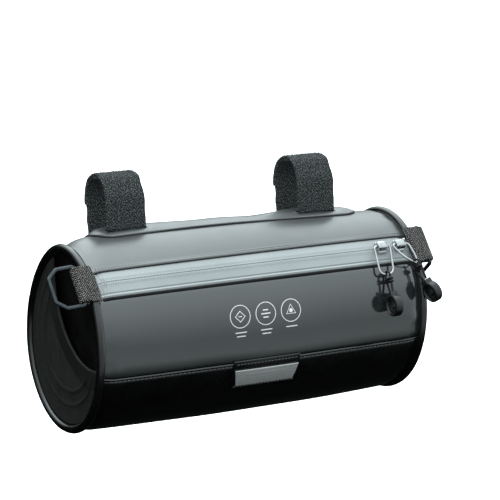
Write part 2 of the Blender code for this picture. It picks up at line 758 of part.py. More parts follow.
def badge(name, lengths, angles, lift, steps, look, bag):
    """A flat piece on the guard panel, as long at each angle as lengths say."""
    outer, inner = [], []
    for k, theta in enumerate(spread(angles[0], angles[1], steps)):
        length = lengths[0] + (lengths[1] - lengths[0]) * k / steps
        places = spread(REFLECTOR_CENTRE - length / 2, REFLECTOR_CENTRE + length / 2, 2)
        outer.append([on_shell(x, theta, lift + BADGE_THICKNESS) for x in places])
        inner.append([on_shell(x, theta, lift) for x in places])
    grid_solid(name, outer, inner, look, bag)


def make_reflector(looks, bag):
    lift = GUARD_PROUD + GAP
    badge("reflector_tab", (TAB_LENGTH, TAB_LENGTH), (TAB_TOP_ANGLE, TAB_LOW_ANGLE), lift, 4,
          looks["gloss_black"], bag)
    badge("reflector_patch", (PATCH_TOP_LENGTH, PATCH_LOW_LENGTH),
          (PATCH_TOP_ANGLE, PATCH_LOW_ANGLE), lift + BADGE_THICKNESS + GAP, 3,
          looks["reflective"], bag)


def make_empty(name, place):
    empty = bpy.data.objects.new(name, None)
    bpy.context.collection.objects.link(empty)
    empty.location = place
    return empty


def build():
    remove_everything()
    looks = make_materials()
    bar = make_empty("bar_centre", (0, 0, 0))
    bag = make_empty("bag_centre", BAG_AXIS)
    make_wrap(looks, bag)
    for side, label, lean in ((-1, "left", LEFT_RING_LEAN), (1, "right", RIGHT_RING_LEAN)):
        make_piping(side, label, looks, bag)
        make_end_cap(side, label, looks, bag)
        make_mesh_pocket(side, label, looks, bag)
        make_strap(side * STRAP_SPACING / 2, label, looks, bar)
        make_webbing(side, label, looks, bag)
        make_ring(side, label, lean, looks, bag)
    make_mount_strip(looks, bag)
    make_reflector(looks, bag)
    for number, (pull, route) in enumerate(zip(PULLS, CORD_ROUTES), 1):
        make_slider(pull, str(number), looks, bag)
        make_pull_ring(pull, str(number), looks, bag)
        make_pull_cord(route, str(number), looks, bar)
        make_pull_end(route, str(number), looks, bar)


build()
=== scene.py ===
"""Looks of a roll-shaped handlebar bag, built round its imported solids.

Metres, +Z up. The origin is the handlebar's centre, midway between the straps, with +X
along the bar and -Y towards the front. Places are measured along the bag from its own
middle, and angles round it in degrees: 0 is level at the front, 90 the top, 180 the rear.
"""
import bpy
import bmesh
import numpy as np
from math import acos, asin, atan2, cos, degrees, pi, radians, sin, sqrt
from mathutils import Matrix, Vector


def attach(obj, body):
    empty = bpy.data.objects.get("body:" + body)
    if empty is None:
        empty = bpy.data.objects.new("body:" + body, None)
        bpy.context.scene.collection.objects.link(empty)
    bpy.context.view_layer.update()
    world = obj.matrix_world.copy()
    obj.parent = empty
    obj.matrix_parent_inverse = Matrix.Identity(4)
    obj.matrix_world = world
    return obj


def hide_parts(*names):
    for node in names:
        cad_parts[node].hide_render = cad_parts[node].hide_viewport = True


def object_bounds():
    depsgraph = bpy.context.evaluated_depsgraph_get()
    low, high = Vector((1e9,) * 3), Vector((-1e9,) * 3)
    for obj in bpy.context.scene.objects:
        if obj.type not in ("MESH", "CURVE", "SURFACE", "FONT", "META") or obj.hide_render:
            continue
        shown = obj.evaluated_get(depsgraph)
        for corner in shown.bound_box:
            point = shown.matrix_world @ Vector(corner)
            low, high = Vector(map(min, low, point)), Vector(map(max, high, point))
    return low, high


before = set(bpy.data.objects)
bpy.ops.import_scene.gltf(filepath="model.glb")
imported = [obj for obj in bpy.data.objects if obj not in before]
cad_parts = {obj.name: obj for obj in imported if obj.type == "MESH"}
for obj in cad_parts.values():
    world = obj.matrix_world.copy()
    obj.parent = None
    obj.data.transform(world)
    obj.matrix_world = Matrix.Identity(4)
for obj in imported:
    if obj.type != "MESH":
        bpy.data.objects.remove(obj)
CAD_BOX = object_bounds()

GAP = 0.0003
BAR_RADIUS = 0.0159
BAG_AXIS = Vector((0.004, -0.017, -0.089))
AXIS = np.array(BAG_AXIS)

# The roll
HALF_LENGTH = 0.1271
BODY_RADIUS = 0.0625
WALL = 0.0020
SAG = 0.0025
RIGHT_END_RISE = 0.0026
END_TUCK = 0.0018
END_TUCK_RUN = 0.009
STRAP_PULL = 0.0044
STRAP_PULL_ANGLE = 92.0
STRAP_PULL_HALF_ANGLE = 36.0
STRAP_PULL_END_RUN = 0.016
STRAP_PULL_FADE = (-0.32, 0.87)
PIPING_RADIUS = 0.0030
PIPING_PROUD = 0.0020
CAP_RECESS = 0.0060
CAP_THICKNESS = 0.0015
CAP_HOLLOW = 0.0030
OVAL = ((2, -0.020, 0.048), (3, -0.008, -0.015))
PANEL_END = HALF_LENGTH - 2 * PIPING_RADIUS - GAP
SEAM = degrees(GAP / BODY_RADIUS)

# Seams round the roll
ZIP_TOP_ANGLE = 54.8
ZIP_ANGLE = 47.6
ZIP_LOW_ANGLE = 37.0
GUARD_FRONT_ANGLE = -13.2
GUARD_BACK_ANGLE = -166.0
TAPE_THICKNESS = 0.0012
TAPE_SET_BACK = 0.0005
GUARD_PROUD = 0.0004
COIL_PITCH = 0.0017

# The mesh pockets
POCKET_THICKNESS = 0.0010
POCKET_MOUTH_RADIUS = 0.059
POCKET_MOUTH = Vector((0, -0.042, 0.048))
POCKET_SET_BACK = 0.0030
POCKET_BULGE = 0.0016
BINDING_WIDTH = 0.011

# The strip along the top
STRIP_LENGTH = 0.205
STRIP_ANGLE = 103.2
STRIP_HALF_ANGLE = 20.5
STRIP_THICKNESS = 0.0016
STRIP_CROWN = 0.0012
STRIP_STRAP_CROWN = 0.0030
STRIP_STRAP_REACH = 0.052
STRIP_CORNER = 0.012
SLOT_INNER_ROOM = 0.0044
SLOT_OUTER_ROOM = 0.0017
SLOT_END_ROOM = 0.0006

# The straps
STRAP_SPACING = 0.148
STRAP_WIDTH = 0.0285
STRAP_THICKNESS = 0.0018
STRAP_BEND = 0.0025
STRAP_FRONT_ANGLE = 88.5
STRAP_REAR_ANGLE = 118.0
STRAP_LAP_START = 100.0
STRAP_LAP_END = -14.0
STRAP_LAP_RAMP = (12.0, 44.0)
TWILL_PITCH = 0.0021
TWILL_SLOPE = 0.8
FIBRES = 5200

# The webbing loops and D-rings
WEBBING_ANGLE = 47.0
WEBBING_WIDTH = 0.025
WEBBING_THICKNESS = 0.0015
WEBBING_REACH_IN = 0.0058
WEAVE_PITCH = 0.0016
RING_BAR_OUT = 0.0052
RING_BAR_RADIUS = 0.0014
RING_DEPTH = 0.0185
RING_SIDE_ROOM = 0.0008
RING_SHOULDER = 0.0120
RING_OUTER_HALF = 0.0088
RING_CORNER = 0.0020
RING_LEANS = {"left": 8.0, "right": 90.0}
WEBBING_SPREAD = degrees(asin(WEBBING_WIDTH / 2 / BODY_RADIUS))
LOOP_REACH = RING_BAR_RADIUS + GAP + WEBBING_THICKNESS / 2
OVER_BEAD = PIPING_RADIUS + GAP + WEBBING_THICKNESS / 2

# Sliders, wire loops, cords and moulded ends
SLIDER_LENGTH = 0.0070
SLIDER_WIDTH = 0.0092
SLIDER_HEIGHT = 0.0056
SLIDER_TUNNEL = 0.0013
SLIDER_TUNNEL_HEIGHT = 0.0032
WIRE_RADIUS = 0.0008
WIRE_TOP_HALF = 0.0064
WIRE_FOOT_HALF = 0.0054
WIRE_CORNER = 0.0022
WIRE_FOOT_ROUNDNESS = 0.86
WIRE_STEP = 0.0005
PULL_CORD_RADIUS = 0.0008
PULL_END_RADIUS = 0.0076
PULL_END_THICKNESS = 0.0058
PULL_NECK_HALF = 0.0034
PULL_NECK_HEIGHT = 0.0096
PULLS = (
    {"place": 0.0968, "foot": (0.0940, 29.8, 0.0048), "twist": 0.0},
    {"place": 0.1117, "foot": (0.1170, 34.5, 0.0068), "twist": 34.0},
)
CORD_ROUTES = (
    (
        (0.0980, -0.0848, -0.0648), (0.0980, -0.0835, -0.0610), (0.0980, -0.0822, -0.0573),
        (0.0980, -0.0807, -0.0542), (0.0980, -0.0789, -0.0526), (0.0980, -0.0764, -0.0528),
        (0.0980, -0.0748, -0.0547), (0.0980, -0.0751, -0.0571), (0.0980, -0.0767, -0.0601),
        (0.0980, -0.0790, -0.0633), (0.0980, -0.0814, -0.0666),
    ),
    (
        (0.1258, -0.0839, -0.0592), (0.1249, -0.0821, -0.0551), (0.1243, -0.0800, -0.0511),
        (0.1235, -0.0780, -0.0479), (0.1221, -0.0764, -0.0466), (0.1203, -0.0748, -0.0471),
        (0.1192, -0.0741, -0.0491), (0.1194, -0.0746, -0.0515), (0.1212, -0.0761, -0.0546),
        (0.1237, -0.0782, -0.0579), (0.1258, -0.0806, -0.0610),
    ),
)

# The reflector on the guard panel
REFLECTOR_CENTRE = -0.0015
TAB_LENGTH = 0.051
TAB_ANGLES = (-31.5, -11.6)
PATCH_TOP_LENGTH = 0.049
PATCH_LOW_LENGTH = 0.044
PATCH_ANGLES = (-29.0, -17.6)
BADGE_THICKNESS = 0.0010
BADGE_CROWN = 0.0003

# The plain printed marks on the front panel
PRINT_PLACES = (-0.0220, -0.0025, 0.0170)
PRINT_ANGLE = 16.4
PRINT_RADIUS = 0.00775
PRINT_LINE = 0.0005
PRINT_LIFT = 0.00012

# The camera
CAMERA_AZIMUTH = -27.84
CAMERA_ELEVATION = 12.5
CAMERA_DISTANCE = 1.5456
CAMERA_AIM = Vector((0.0217, -0.0170, -0.0411))
CAMERA_LENS = 158.4
FLOOR_DROP = 0.30
FLOOR_HALF = 30.0

# Steps of the curves
CURVE_STEPS = 24
STRAP_STEP = 0.0006


# The roll's surface, for arrays of places and angles

def oval_share(theta):
    share = 1.0
    for harmonic, cosine, sine in OVAL:
        turn = np.radians(harmonic * theta)
        share = share + cosine * np.cos(turn) + sine * np.sin(turn)
    return share


def rim_radius(x, theta):
    along = np.clip(x / HALF_LENGTH, -1, 1)
    top = np.maximum(0, np.sin(np.radians(theta)))
    return BODY_RADIUS * oval_share(theta) + RIGHT_END_RISE * (0.5 + 0.5 * along) * top ** 2


def strap_pull(x, theta):
    """How far the straps pull the wrap's top outwards: most at the left, none at the right."""
    off = np.minimum(1, np.abs(theta - STRAP_PULL_ANGLE) / STRAP_PULL_HALF_ANGLE)
    from_end = np.clip((PANEL_END - np.abs(x)) / STRAP_PULL_END_RUN, 0, 1)
    left_share = 1 - step(x / HALF_LENGTH, *STRAP_PULL_FADE)
    return STRAP_PULL * np.cos(pi / 2 * off) ** 2 * np.sin(pi / 2 * from_end) * left_share


def shell_radius(x, theta):
    along = np.clip(x / HALF_LENGTH, -1, 1)
    low_weight = 0.35 + 0.65 * (1 - np.sin(np.radians(theta))) / 2
    into_end = np.clip((np.abs(x) - (PANEL_END - END_TUCK_RUN)) / END_TUCK_RUN, 0, 1)
    lift = SAG * (1 - along ** 2) * low_weight + strap_pull(x, theta)
    return rim_radius(x, theta) + lift - END_TUCK * into_end ** 2


def around(x, theta, radius):
    x, theta, radius = np.broadcast_arrays(x, theta, radius)
    turn = np.radians(theta)
    points = np.stack((x, -radius * np.cos(turn), radius * np.sin(turn)), axis=-1)
    return points + AXIS


def shell(x, theta, lift=0.0):
    return around(x, theta, shell_radius(x, theta) + lift)


def outward(theta):
    return Vector((0, -cos(radians(theta)), sin(radians(theta))))


def bead_centre(side, theta):
    x = side * (HALF_LENGTH - PIPING_RADIUS)
    return around(x, theta, rim_radius(x, theta) + PIPING_PROUD - PIPING_RADIUS)


def arc_of(theta):
    """The length round the roll that an angle covers."""
    return np.radians(theta) * BODY_RADIUS


def turn_of(length):
    """The angle round the roll that a length covers."""
    return np.degrees(length / BODY_RADIUS)


# Shaping helpers

def waves(u, v, size, seed):
    """Smooth unevenness of about -1 to 1: a few sine waves in fixed random directions."""
    draw = np.random.default_rng(seed)
    total = 0.0
    for _ in range(7):
        turn, phase = draw.uniform(0, 2 * pi, 2)
        stretch = draw.uniform(0.6, 1.6)
        total = total + np.sin((u * cos(turn) + v * sin(turn)) * 2 * pi * stretch / size + phase)
    return total / 4


def ridge(distance, width):
    return np.exp(-(distance / width) ** 2)


def step(value, low, high):
    share = np.clip((value - low) / (high - low), 0, 1)
    return share * share * (3 - 2 * share)


def hem(distance, wall):
    """How far a wall's face drops towards its middle near a rounded edge."""
    near = np.clip(1 - distance / (wall / 2), 0, 0.97)
    return wall / 2 * (1 - np.sqrt(1 - near ** 2))


def samples(low, high, spacing, edge, rows=(), row_width=0.0):
    """Sample places, closer together at both ends and at the named rows."""
    count = max(2, int(round((high - low) / spacing)))
    found = list(np.linspace(low, high, count + 1))
    for share in (0.0, 0.05, 0.15, 0.3, 0.5, 0.8):
        found += [low + share * edge, high - share * edge]
    for row in rows:
        found += [row + share * row_width for share in (-1.5, -1, -0.5, 0, 0.5, 1, 1.5)]
    found = sorted(value for value in found if low <= value <= high)
    kept = [low]
    for value in found:
        if value - kept[-1] > spacing * 0.04:
            kept.append(value)
    kept[-1] = high
    return np.array(kept)


def together(*parts):
    return np.stack(parts, axis=-1)


def unit(rows):
    """The rows of an array, each made one long."""
    return rows / np.linalg.norm(rows, axis=-1, keepdims=True)


def lengths_along(points):
    return np.concatenate(([0], np.cumsum(np.linalg.norm(np.diff(points, axis=0), axis=1))))


def even_points(points, count):
    """A line through the points, read at an even spacing."""
    length = lengths_along(points)
    at = np.linspace(0, length[-1], count)
    return together(*(np.interp(at, length, points[:, k]) for k in range(3)))


def smooth_line(points, count):
    """A smooth curve through the points, read at an even spacing."""
    points = [Vector(p) for p in points]
    last = len(points) - 1
    dense = []
    for k in range(last):
        before, start = points[max(k - 1, 0)], points[k]
        end, after = points[k + 1], points[min(k + 2, last)]
        for share in np.linspace(0, 1, CURVE_STEPS, endpoint=False):
            bend = (2 * before - 5 * start + 4 * end - after) * share ** 2
            twist = (3 * start - before - 3 * end + after) * share ** 3
            dense.append(start + ((end - before) * share + bend + twist) / 2)
    return even_points(np.array([*dense, points[-1]]), count)


def rounded(corners, radius, steps, closed):
    count = len(corners)
    path = []
    for k, corner in enumerate(corners):
        if not closed and k in (0, count - 1):
            path.append(corner)
            continue
        back = (corners[k - 1] - corner).normalized()
        ahead = (corners[(k + 1) % count] - corner).normalized()
        half = acos(max(-1.0, min(1.0, back.dot(ahead)))) / 2
        centre = corner + (back + ahead).normalized() * (radius / sin(half))
        first = corner + back * (radius * cos(half) / sin(half)) - centre
        last = corner + ahead * (radius * cos(half) / sin(half)) - centre
        for k_step in range(steps + 1):
            path.append(centre + first.slerp(last, k_step / steps).normalized() * radius)
    return path


def resample(path, spacing, closed):
    """Points along a path at about an even spacing."""
    points = np.array([*path, path[0]] if closed else path)
    found = even_points(points, max(8, int(round(lengths_along(points)[-1] / spacing))) + 1)
    return found[:-1] if closed else found


# Meshes

def link(made):
    bpy.context.scene.collection.objects.link(made)
    return made


class Shape:
    """Points, faces and flat places (u, v) that are gathered into one piece."""

    def __init__(self):
        self.points, self.faces, self.flat = [], [], []

    def add(self, points, faces, flat=None):
        start = len(self.points)
        self.points += [tuple(p) for p in points]
        self.faces += [tuple(start + k for k in face) for face in faces]
        self.flat += [(0.0, 0.0)] * len(points) if flat is None else [tuple(p) for p in flat]

    def add_rings(self, rings, closed=False, flat=None):
        """A tube through rings of points, capped unless it closes on itself."""
        count, sides = rings.shape[:2]
        faces = []
        for k in range(count if closed else count - 1):
            a, b = k * sides, (k + 1) % count * sides
            faces += [(a + m, a + (m + 1) % sides, b + (m + 1) % sides, b + m) for m in range(sides)]
        if not closed:
            faces += [tuple(reversed(range(sides))), tuple((count - 1) * sides + m for m in range(sides))]
        self.add(rings.reshape(-1, 3), faces, None if flat is None else flat.reshape(-1, 2))

    def add_tube(self, path, across, profile, closed=False, flat=None):
        """A tube along a path; the profile holds (in plane, across) offsets."""
        path, across, profile = (np.asarray(part, float) for part in (path, across, profile))
        ahead, behind = np.roll(path, -1, axis=0), np.roll(path, 1, axis=0)
        along = unit(ahead - behind if closed else np.gradient(path, axis=0))
        side = unit(across - along * np.sum(across * along, axis=1, keepdims=True))
        normal = np.cross(side, along)
        self.add_rings(path[:, None] + normal[:, None] * profile[..., 0:1]
                       + side[:, None] * profile[..., 1:2], closed, flat)

    def add_wall(self, outer, inner, kept=None, flat=None):
        """A closed wall between two grids of points, cut through where a cell isn't kept."""
        rows, columns = outer.shape[0] - 1, outer.shape[1] - 1
        if kept is None:
            kept = np.ones((rows, columns), bool)
        width, below = columns + 1, outer.shape[0] * outer.shape[1]
        faces = []
        for i, j in zip(*np.nonzero(kept)):
            corners = ((i, j), (i, j + 1), (i + 1, j + 1), (i + 1, j))
            beyond = ((i - 1, j), (i, j + 1), (i + 1, j), (i, j - 1))
            spots = [a * width + b for a, b in corners]
            faces.append(tuple(spots))
            faces.append(tuple(below + spot for spot in reversed(spots)))
            for k, (a, b) in enumerate(beyond):
                if not (0 <= a < rows and 0 <= b < columns and kept[a, b]):
                    first, second = spots[k], spots[(k + 1) % 4]
                    faces.append((second, first, below + first, below + second))
        both = None if flat is None else np.concatenate((flat.reshape(-1, 2),) * 2)
        self.add(np.concatenate((outer.reshape(-1, 3), inner.reshape(-1, 3))), faces, both)

    def piece(self, name, look, nodes=(), body="bag", sharp=40.0):
        mesh = bpy.data.meshes.new(name)
        mesh.from_pydata(self.points, [], self.faces)
        if any(u or v for u, v in self.flat):
            layer = mesh.uv_layers.new(name="flat")
            corner = np.zeros(len(mesh.loops), np.int32)
            mesh.loops.foreach_get("vertex_index", corner)
            layer.data.foreach_set("uv", np.array(self.flat, np.float32)[corner].ravel())
        tidy = bmesh.new()
        tidy.from_mesh(mesh)
        loose = [vertex for vertex in tidy.verts if not vertex.link_faces]
        bmesh.ops.delete(tidy, geom=loose, context="VERTS")
        bmesh.ops.recalc_face_normals(tidy, faces=tidy.faces)
        if tidy.calc_volume(signed=True) < 0:
            bmesh.ops.reverse_faces(tidy, faces=tidy.faces)
        tidy.to_mesh(mesh)
        tidy.free()
        mesh.shade_smooth()
        mesh.set_sharp_from_angle(angle=radians(sharp))
        mesh.materials.append(look)
        made = link(bpy.data.objects.new(name, mesh))
        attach(made, body)
        if nodes:
            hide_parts(*nodes)
        return made



def round_profile(radius, sides):
    turns = 2 * pi * (np.arange(sides) + 0.5) / sides
    return together(radius * np.cos(turns), radius * np.sin(turns))


def flat_profile(half, across_half, bevel, steps=3):
    """A rectangle with rounded corners."""
    found = []
    for corner, (a, b) in enumerate(((1, 1), (-1, 1), (-1, -1), (1, -1))):
        for k in range(steps + 1):
            turn = radians(90 * (corner + k / steps))
            found.append((a * (half - bevel) + bevel * cos(turn),
                          b * (across_half - bevel) + bevel * sin(turn)))
    return np.array(found)


def add_stitch(shape, start, end, out, radius, sink=0.0005, proud=0.00012):
    """One thread that comes up through the cloth, lies along it and goes down again."""
    start, end, out = (np.asarray(value, float) for value in (start, end, out))
    shares = np.array((0.0, 0.1, 0.3, 0.5, 0.7, 0.9, 1.0))
    height = np.array((-sink, 0.2 * proud, proud, proud, proud, 0.2 * proud, -sink))
    path = start + (end - start) * shares[:, None] + out * height[:, None]
    shape.add_tube(path, out, round_profile(radius, 6))


def stitch_round(shape, places, theta, lift, pitch, length, radius):
    """A row of stitches along the bag at an angle round it."""
    low, high = places
    count = int((high - low) / pitch)
    for k in range(count):
        x = low + (k + 0.5) * (high - low) / count
        start, end = shell(x - length / 2, theta, lift), shell(x + length / 2, theta, lift)
        add_stitch(shape, start, end, outward(theta), radius)


# Materials

def add_node(tree, kind, values=None, links=None, **settings):
    node = tree.nodes.new("ShaderNode" + kind)
    for name, value in settings.items():
        setattr(node, name, value)
    for socket, value in (values or {}).items():
        node.inputs[socket].default_value = value
    for socket, source in (links or {}).items():
        tree.links.new(source, node.inputs[socket])
    return node


def new_look(name, **sockets):
    made = bpy.data.materials.new(name)
    made.use_nodes = True
    shader = made.node_tree.nodes["Principled BSDF"]
    for socket, value in sockets.items():
        shader.inputs[socket.replace("_", " ")].default_value = value
    return made, made.node_tree, shader


def place_of(tree, flat=False):
    """The place on the piece: its flat (u, v) in metres, or its place in the frame."""
    coordinates = add_node(tree, "TexCoord")
    return coordinates.outputs["UV" if flat else "Object"]


def noise_at(tree, place, size, detail=3.0, roughness=0.55):
    return add_node(tree, "TexNoise", {"Scale": 1 / size, "Detail": detail, "Roughness": roughness},
                    {"Vector": place}).outputs["Fac"]


def blend_colour(tree, share, low, high):
    mix = add_node(tree, "Mix", data_type="RGBA")
    mix.inputs["A"].default_value = (*low, 1)
    mix.inputs["B"].default_value = (*high, 1)
    tree.links.new(share, mix.inputs["Factor"])
    return mix.outputs["Result"]


def spread_to(tree, share, low, high, from_low=0.3, from_high=0.7):
    return add_node(tree, "MapRange", {"From Min": from_low, "From Max": from_high,
                                       "To Min": low, "To Max": high},
                    {"Value": share}).outputs["Result"]


def combine(tree, operation, first, second):
    node = add_node(tree, "Math", operation=operation)
    for socket, value in zip(node.inputs, (first, second)):
        if isinstance(value, (int, float)):
            socket.default_value = value
        else:
            tree.links.new(value, socket)
    return node.outputs["Value"]


def bump(tree, shader, height, depth):
    node = add_node(tree, "Bump", {"Strength": 1.0, "Distance": depth}, {"Height": height})
    tree.links.new(node.outputs["Normal"], shader.inputs["Normal"])


def tone(tree, shader, share, low, high):
    tree.links.new(blend_colour(tree, share, low, high), shader.inputs["Base Color"])


def cells_at(tree, place, scale, **values):
    return add_node(tree, "TexVoronoi", {"Scale": scale, **values}, {"Vector": place},
                    feature="DISTANCE_TO_EDGE").outputs["Distance"]


def wave_of(tree, length, pitch):
    return combine(tree, "SINE", combine(tree, "MULTIPLY", length, 2 * pi / pitch), 0)


def flat_parts(tree):
    place = place_of(tree, flat=True)
    parts = add_node(tree, "SeparateXYZ", links={"Vector": place}).outputs
    return place, parts["X"], parts["Y"]


def plain_look(name, low, high, roughness, grains, depth, cells=None, **sockets):
    """Slight changes of tone and roughness over fine relief: a (size, detail) for each."""
    made, tree, shader = new_look(name, **sockets)
    place = place_of(tree)
    broad, middle, height = (noise_at(tree, place, *grain) for grain in grains)
    tone(tree, shader, spread_to(tree, broad, 0, 1), low, high)
    tree.links.new(spread_to(tree, middle, *roughness), shader.inputs["Roughness"])
    if cells:
        edges = combine(tree, "MINIMUM", cells_at(tree, place, cells), 0.35)
        height = combine(tree, "ADD", height, edges)
    bump(tree, shader, height, depth)
    return made


def coated_look(name, low, high, roughness, coat, coat_roughness, grain, depth, **sockets):
    """A coated cloth: soft variation of tone, fine grain, and a film over it."""
    grains = ((0.035, 3.0), (0.012, 3.0), (grain, 2.0))
    return plain_look(name, low, high, roughness, grains, depth, 0.6 / grain,
                      Coat_Weight=coat, Coat_Roughness=coat_roughness, **sockets)


def metal_look(name, low, high, roughness, metallic, scratch):
    grains = ((0.004, 3.0), (0.0015, 5.0), (0.0007, 4.0))
    return plain_look(name, low, high, roughness, grains, scratch, Metallic=metallic)


def dull_look(name, low, high, roughness, size, depth, **sockets):
    """Moulded rubber, thread or ink."""
    grains = ((size * 6, 4.0), (size * 3, 3.0), (size, 4.0))
    return plain_look(name, low, high, roughness, grains, depth, **sockets)


def ribbed_look(name, dark, light, pitch, depth, roughness):
    """Knitted mesh: rows of small holes between ribs."""
    made, tree, shader = new_look(name, Roughness=roughness)
    place, across, along = flat_parts(tree)
    holes = combine(tree, "MULTIPLY", wave_of(tree, across, pitch),
                    wave_of(tree, along, pitch * 0.8))
    fibre = combine(tree, "MULTIPLY", noise_at(tree, place, pitch * 0.3, 4.0), 0.5)
    height = combine(tree, "ADD", spread_to(tree, holes, 0, 1, -1, 1), fibre)
    worn = spread_to(tree, noise_at(tree, place_of(tree), 0.02), 0.35, 1.0)
    share = combine(tree, "MULTIPLY", spread_to(tree, height, 0, 1, 0.2, 1.3), worn)
    tone(tree, shader, share, dark, light)
    bump(tree, shader, height, depth)
    return made


def pile_look(name, dark, light):
    """Brushed loop pile: pale fibre tips over a dark ground, with faint diagonal rows."""
    made, tree, shader = new_look(name, Roughness=0.95)
    place, across, along = flat_parts(tree)
    slope = combine(tree, "ADD", across, combine(tree, "MULTIPLY", along, TWILL_SLOPE))
    rows = combine(tree, "MULTIPLY", wave_of(tree, slope, TWILL_PITCH), 0.035)
    height = combine(tree, "ADD", noise_at(tree, place, 0.0009, 4.0, 0.65), rows)
    tone(tree, shader, spread_to(tree, height, 0, 1, 0.48, 0.70), dark, light)
    bump(tree, shader, height, 0.0006)
    return made


def woven_look(name, dark, light):
    """Tweed webbing: dark yarn with pale flecks in a basket weave."""
    made, tree, shader = new_look(name, Roughness=0.78)
    place, across, along = flat_parts(tree)
    cell = combine(tree, "MULTIPLY", wave_of(tree, across, WEAVE_PITCH),
                   wave_of(tree, along, WEAVE_PITCH))
    fleck = noise_at(tree, place, WEAVE_PITCH * 0.55, 2.0)
    share = combine(tree, "MULTIPLY", spread_to(tree, cell, 0, 1, 0.0, 0.45),
                    spread_to(tree, fleck, 0, 1, 0.42, 0.54))
    tone(tree, shader, share, dark, light)
    bump(tree, shader, combine(tree, "ADD", cell, noise_at(tree, place, 0.0003, 3.0)), 0.0003)
    return made


def film_look(name, dark, light):
    """Retroreflective film: a fine net of cells under a clear face."""
    made, tree, shader = new_look(name, Metallic=0.35, Coat_Weight=0.6, Coat_Roughness=0.12)
    place = place_of(tree)
    share = spread_to(tree, cells_at(tree, place, 1 / 0.0009, Randomness=0.25), 0, 1, 0.02, 0.25)
    smudge = spread_to(tree, noise_at(tree, place, 0.01), 0.75, 1.0)
    tone(tree, shader, combine(tree, "MULTIPLY", share, smudge), dark, light)
    tree.links.new(spread_to(tree, noise_at(tree, place, 0.006), 0.28, 0.42),
                   shader.inputs["Roughness"])
    bump(tree, shader, share, 0.00004)
    return made


LOOKS = {
    "grey": coated_look("coated_grey", (0.0180, 0.0210, 0.0220), (0.0215, 0.0250, 0.0260),
                        (0.10, 0.15), 1.0, 0.03, 0.00045, 0.000003, IOR=1.8),
    # The top panel and the strip: the front's grey cloth with a rougher coat. Its base colour is about
    # twice as light as the front's, which is painted light from overhead.
    "lit_top_satin": coated_look("satin_grey_painted_top_light", (0.0420, 0.0470, 0.0480), (0.0460, 0.0520, 0.0530),
                         (0.34, 0.42), 1.0, 0.34, 0.00045, 0.000008, IOR=1.8),
    "zip": coated_look("zip_film", (0.300, 0.325, 0.330), (0.345, 0.372, 0.378),
                       (0.40, 0.50), 0.3, 0.30, 0.00035, 0.00002),
    "black": coated_look("gloss_black", (0.0030, 0.0030, 0.0032), (0.0050, 0.0048, 0.0048),
                         (0.20, 0.32), 0.8, 0.09, 0.0006, 0.000015),
    "cap": coated_look("cap_black", (0.0040, 0.0038, 0.0036), (0.0090, 0.0084, 0.0078),
                       (0.28, 0.42), 0.5, 0.22, 0.0009, 0.00003),
    "mesh": ribbed_look("ribbed_mesh", (0.0020, 0.0019, 0.0018), (0.017, 0.0150, 0.0135), 0.0012,
                        0.00035, 0.85),
    "binding": ribbed_look("elastic_binding", (0.0030, 0.0028, 0.0026), (0.014, 0.0130, 0.0120),
                           0.0016, 0.0002, 0.55),
    "pile": pile_look("loop_pile", (0.0045, 0.0050, 0.0053), (0.230, 0.250, 0.255)),
    "tweed": woven_look("tweed_webbing", (0.0030, 0.0029, 0.0028), (0.36, 0.34, 0.32)),
    "ring": metal_look("gunmetal", (0.040, 0.047, 0.054), (0.062, 0.070, 0.078), (0.24, 0.34),
                       0.8, 0.00002),
    "silver": metal_look("polished_silver", (0.46, 0.47, 0.48), (0.58, 0.59, 0.60),
                         (0.06, 0.12), 1.0, 0.00001),
    "rubber": dull_look("moulded_rubber", (0.0045, 0.0045, 0.0050), (0.0085, 0.0085, 0.0090),
                        (0.30, 0.42), 0.0005, 0.00003, Coat_Weight=0.25, Coat_Roughness=0.2),
    "thread": dull_look("dark_thread", (0.0025, 0.0025, 0.0028), (0.0060, 0.0060, 0.0066),
                        (0.45, 0.60), 0.0003, 0.00005),
    "pale_thread": dull_look("grey_thread", (0.085, 0.088, 0.090), (0.150, 0.155, 0.158),
                             (0.55, 0.70), 0.0003, 0.00005),
    "ink": dull_look("white_ink", (0.84, 0.85, 0.85), (0.90, 0.91, 0.91), (0.4, 0.5), 0.0003,
                     0.00001),
    "film": film_look("reflective_film", (0.34, 0.35, 0.35), (0.60, 0.60, 0.59)),
}


# The wrap

HEM_RUN = 0.001
STITCH_DROP = 0.0024
STITCH_GROOVE = 0.0005
GROOVE_DEPTH = 0.0003
TURNED_EDGE = 0.0004
GUARD_EDGE, GUARD_EDGE_ROUND = 0.0005, 0.0008
PANEL_UNDER = 0.0015
TAPE_ROUNDING = 0.0005
PANEL_STEP = 0.0022
DRAPE, DRAPE_SIZE = 0.00018, 0.110
GATHER, GATHER_SIZE, GATHER_RUN = 0.00028, 0.013, 0.009
ZIP_TOP_STITCH = ZIP_TOP_ANGLE + turn_of(0.0026)
ZIP_LOW_BEAD = ZIP_LOW_ANGLE + turn_of(0.0020)
ZIP_LOW_CREASE = ZIP_LOW_ANGLE + turn_of(0.0037)
GUARD_STITCH = GUARD_FRONT_ANGLE - turn_of(STITCH_DROP)
GUARD_BACK_STITCH = GUARD_BACK_ANGLE + turn_of(STITCH_DROP)


def panel_tension(x, theta):
    """The wrap's soft unevenness, with small gathers where it is sewn into the ends."""
    arc = arc_of(theta)
    from_end = np.maximum(0, PANEL_END - np.abs(x))
    gathers = ridge(from_end, GATHER_RUN) * waves(0.15 * x, arc, GATHER_SIZE, 5)
    return DRAPE * waves(x, arc, DRAPE_SIZE, 3) + GATHER * gathers


def to_seam(theta, low, high):
    """The arc from an angle to the nearer of two seams."""
    return np.minimum(arc_of(theta - low), arc_of(high - theta))


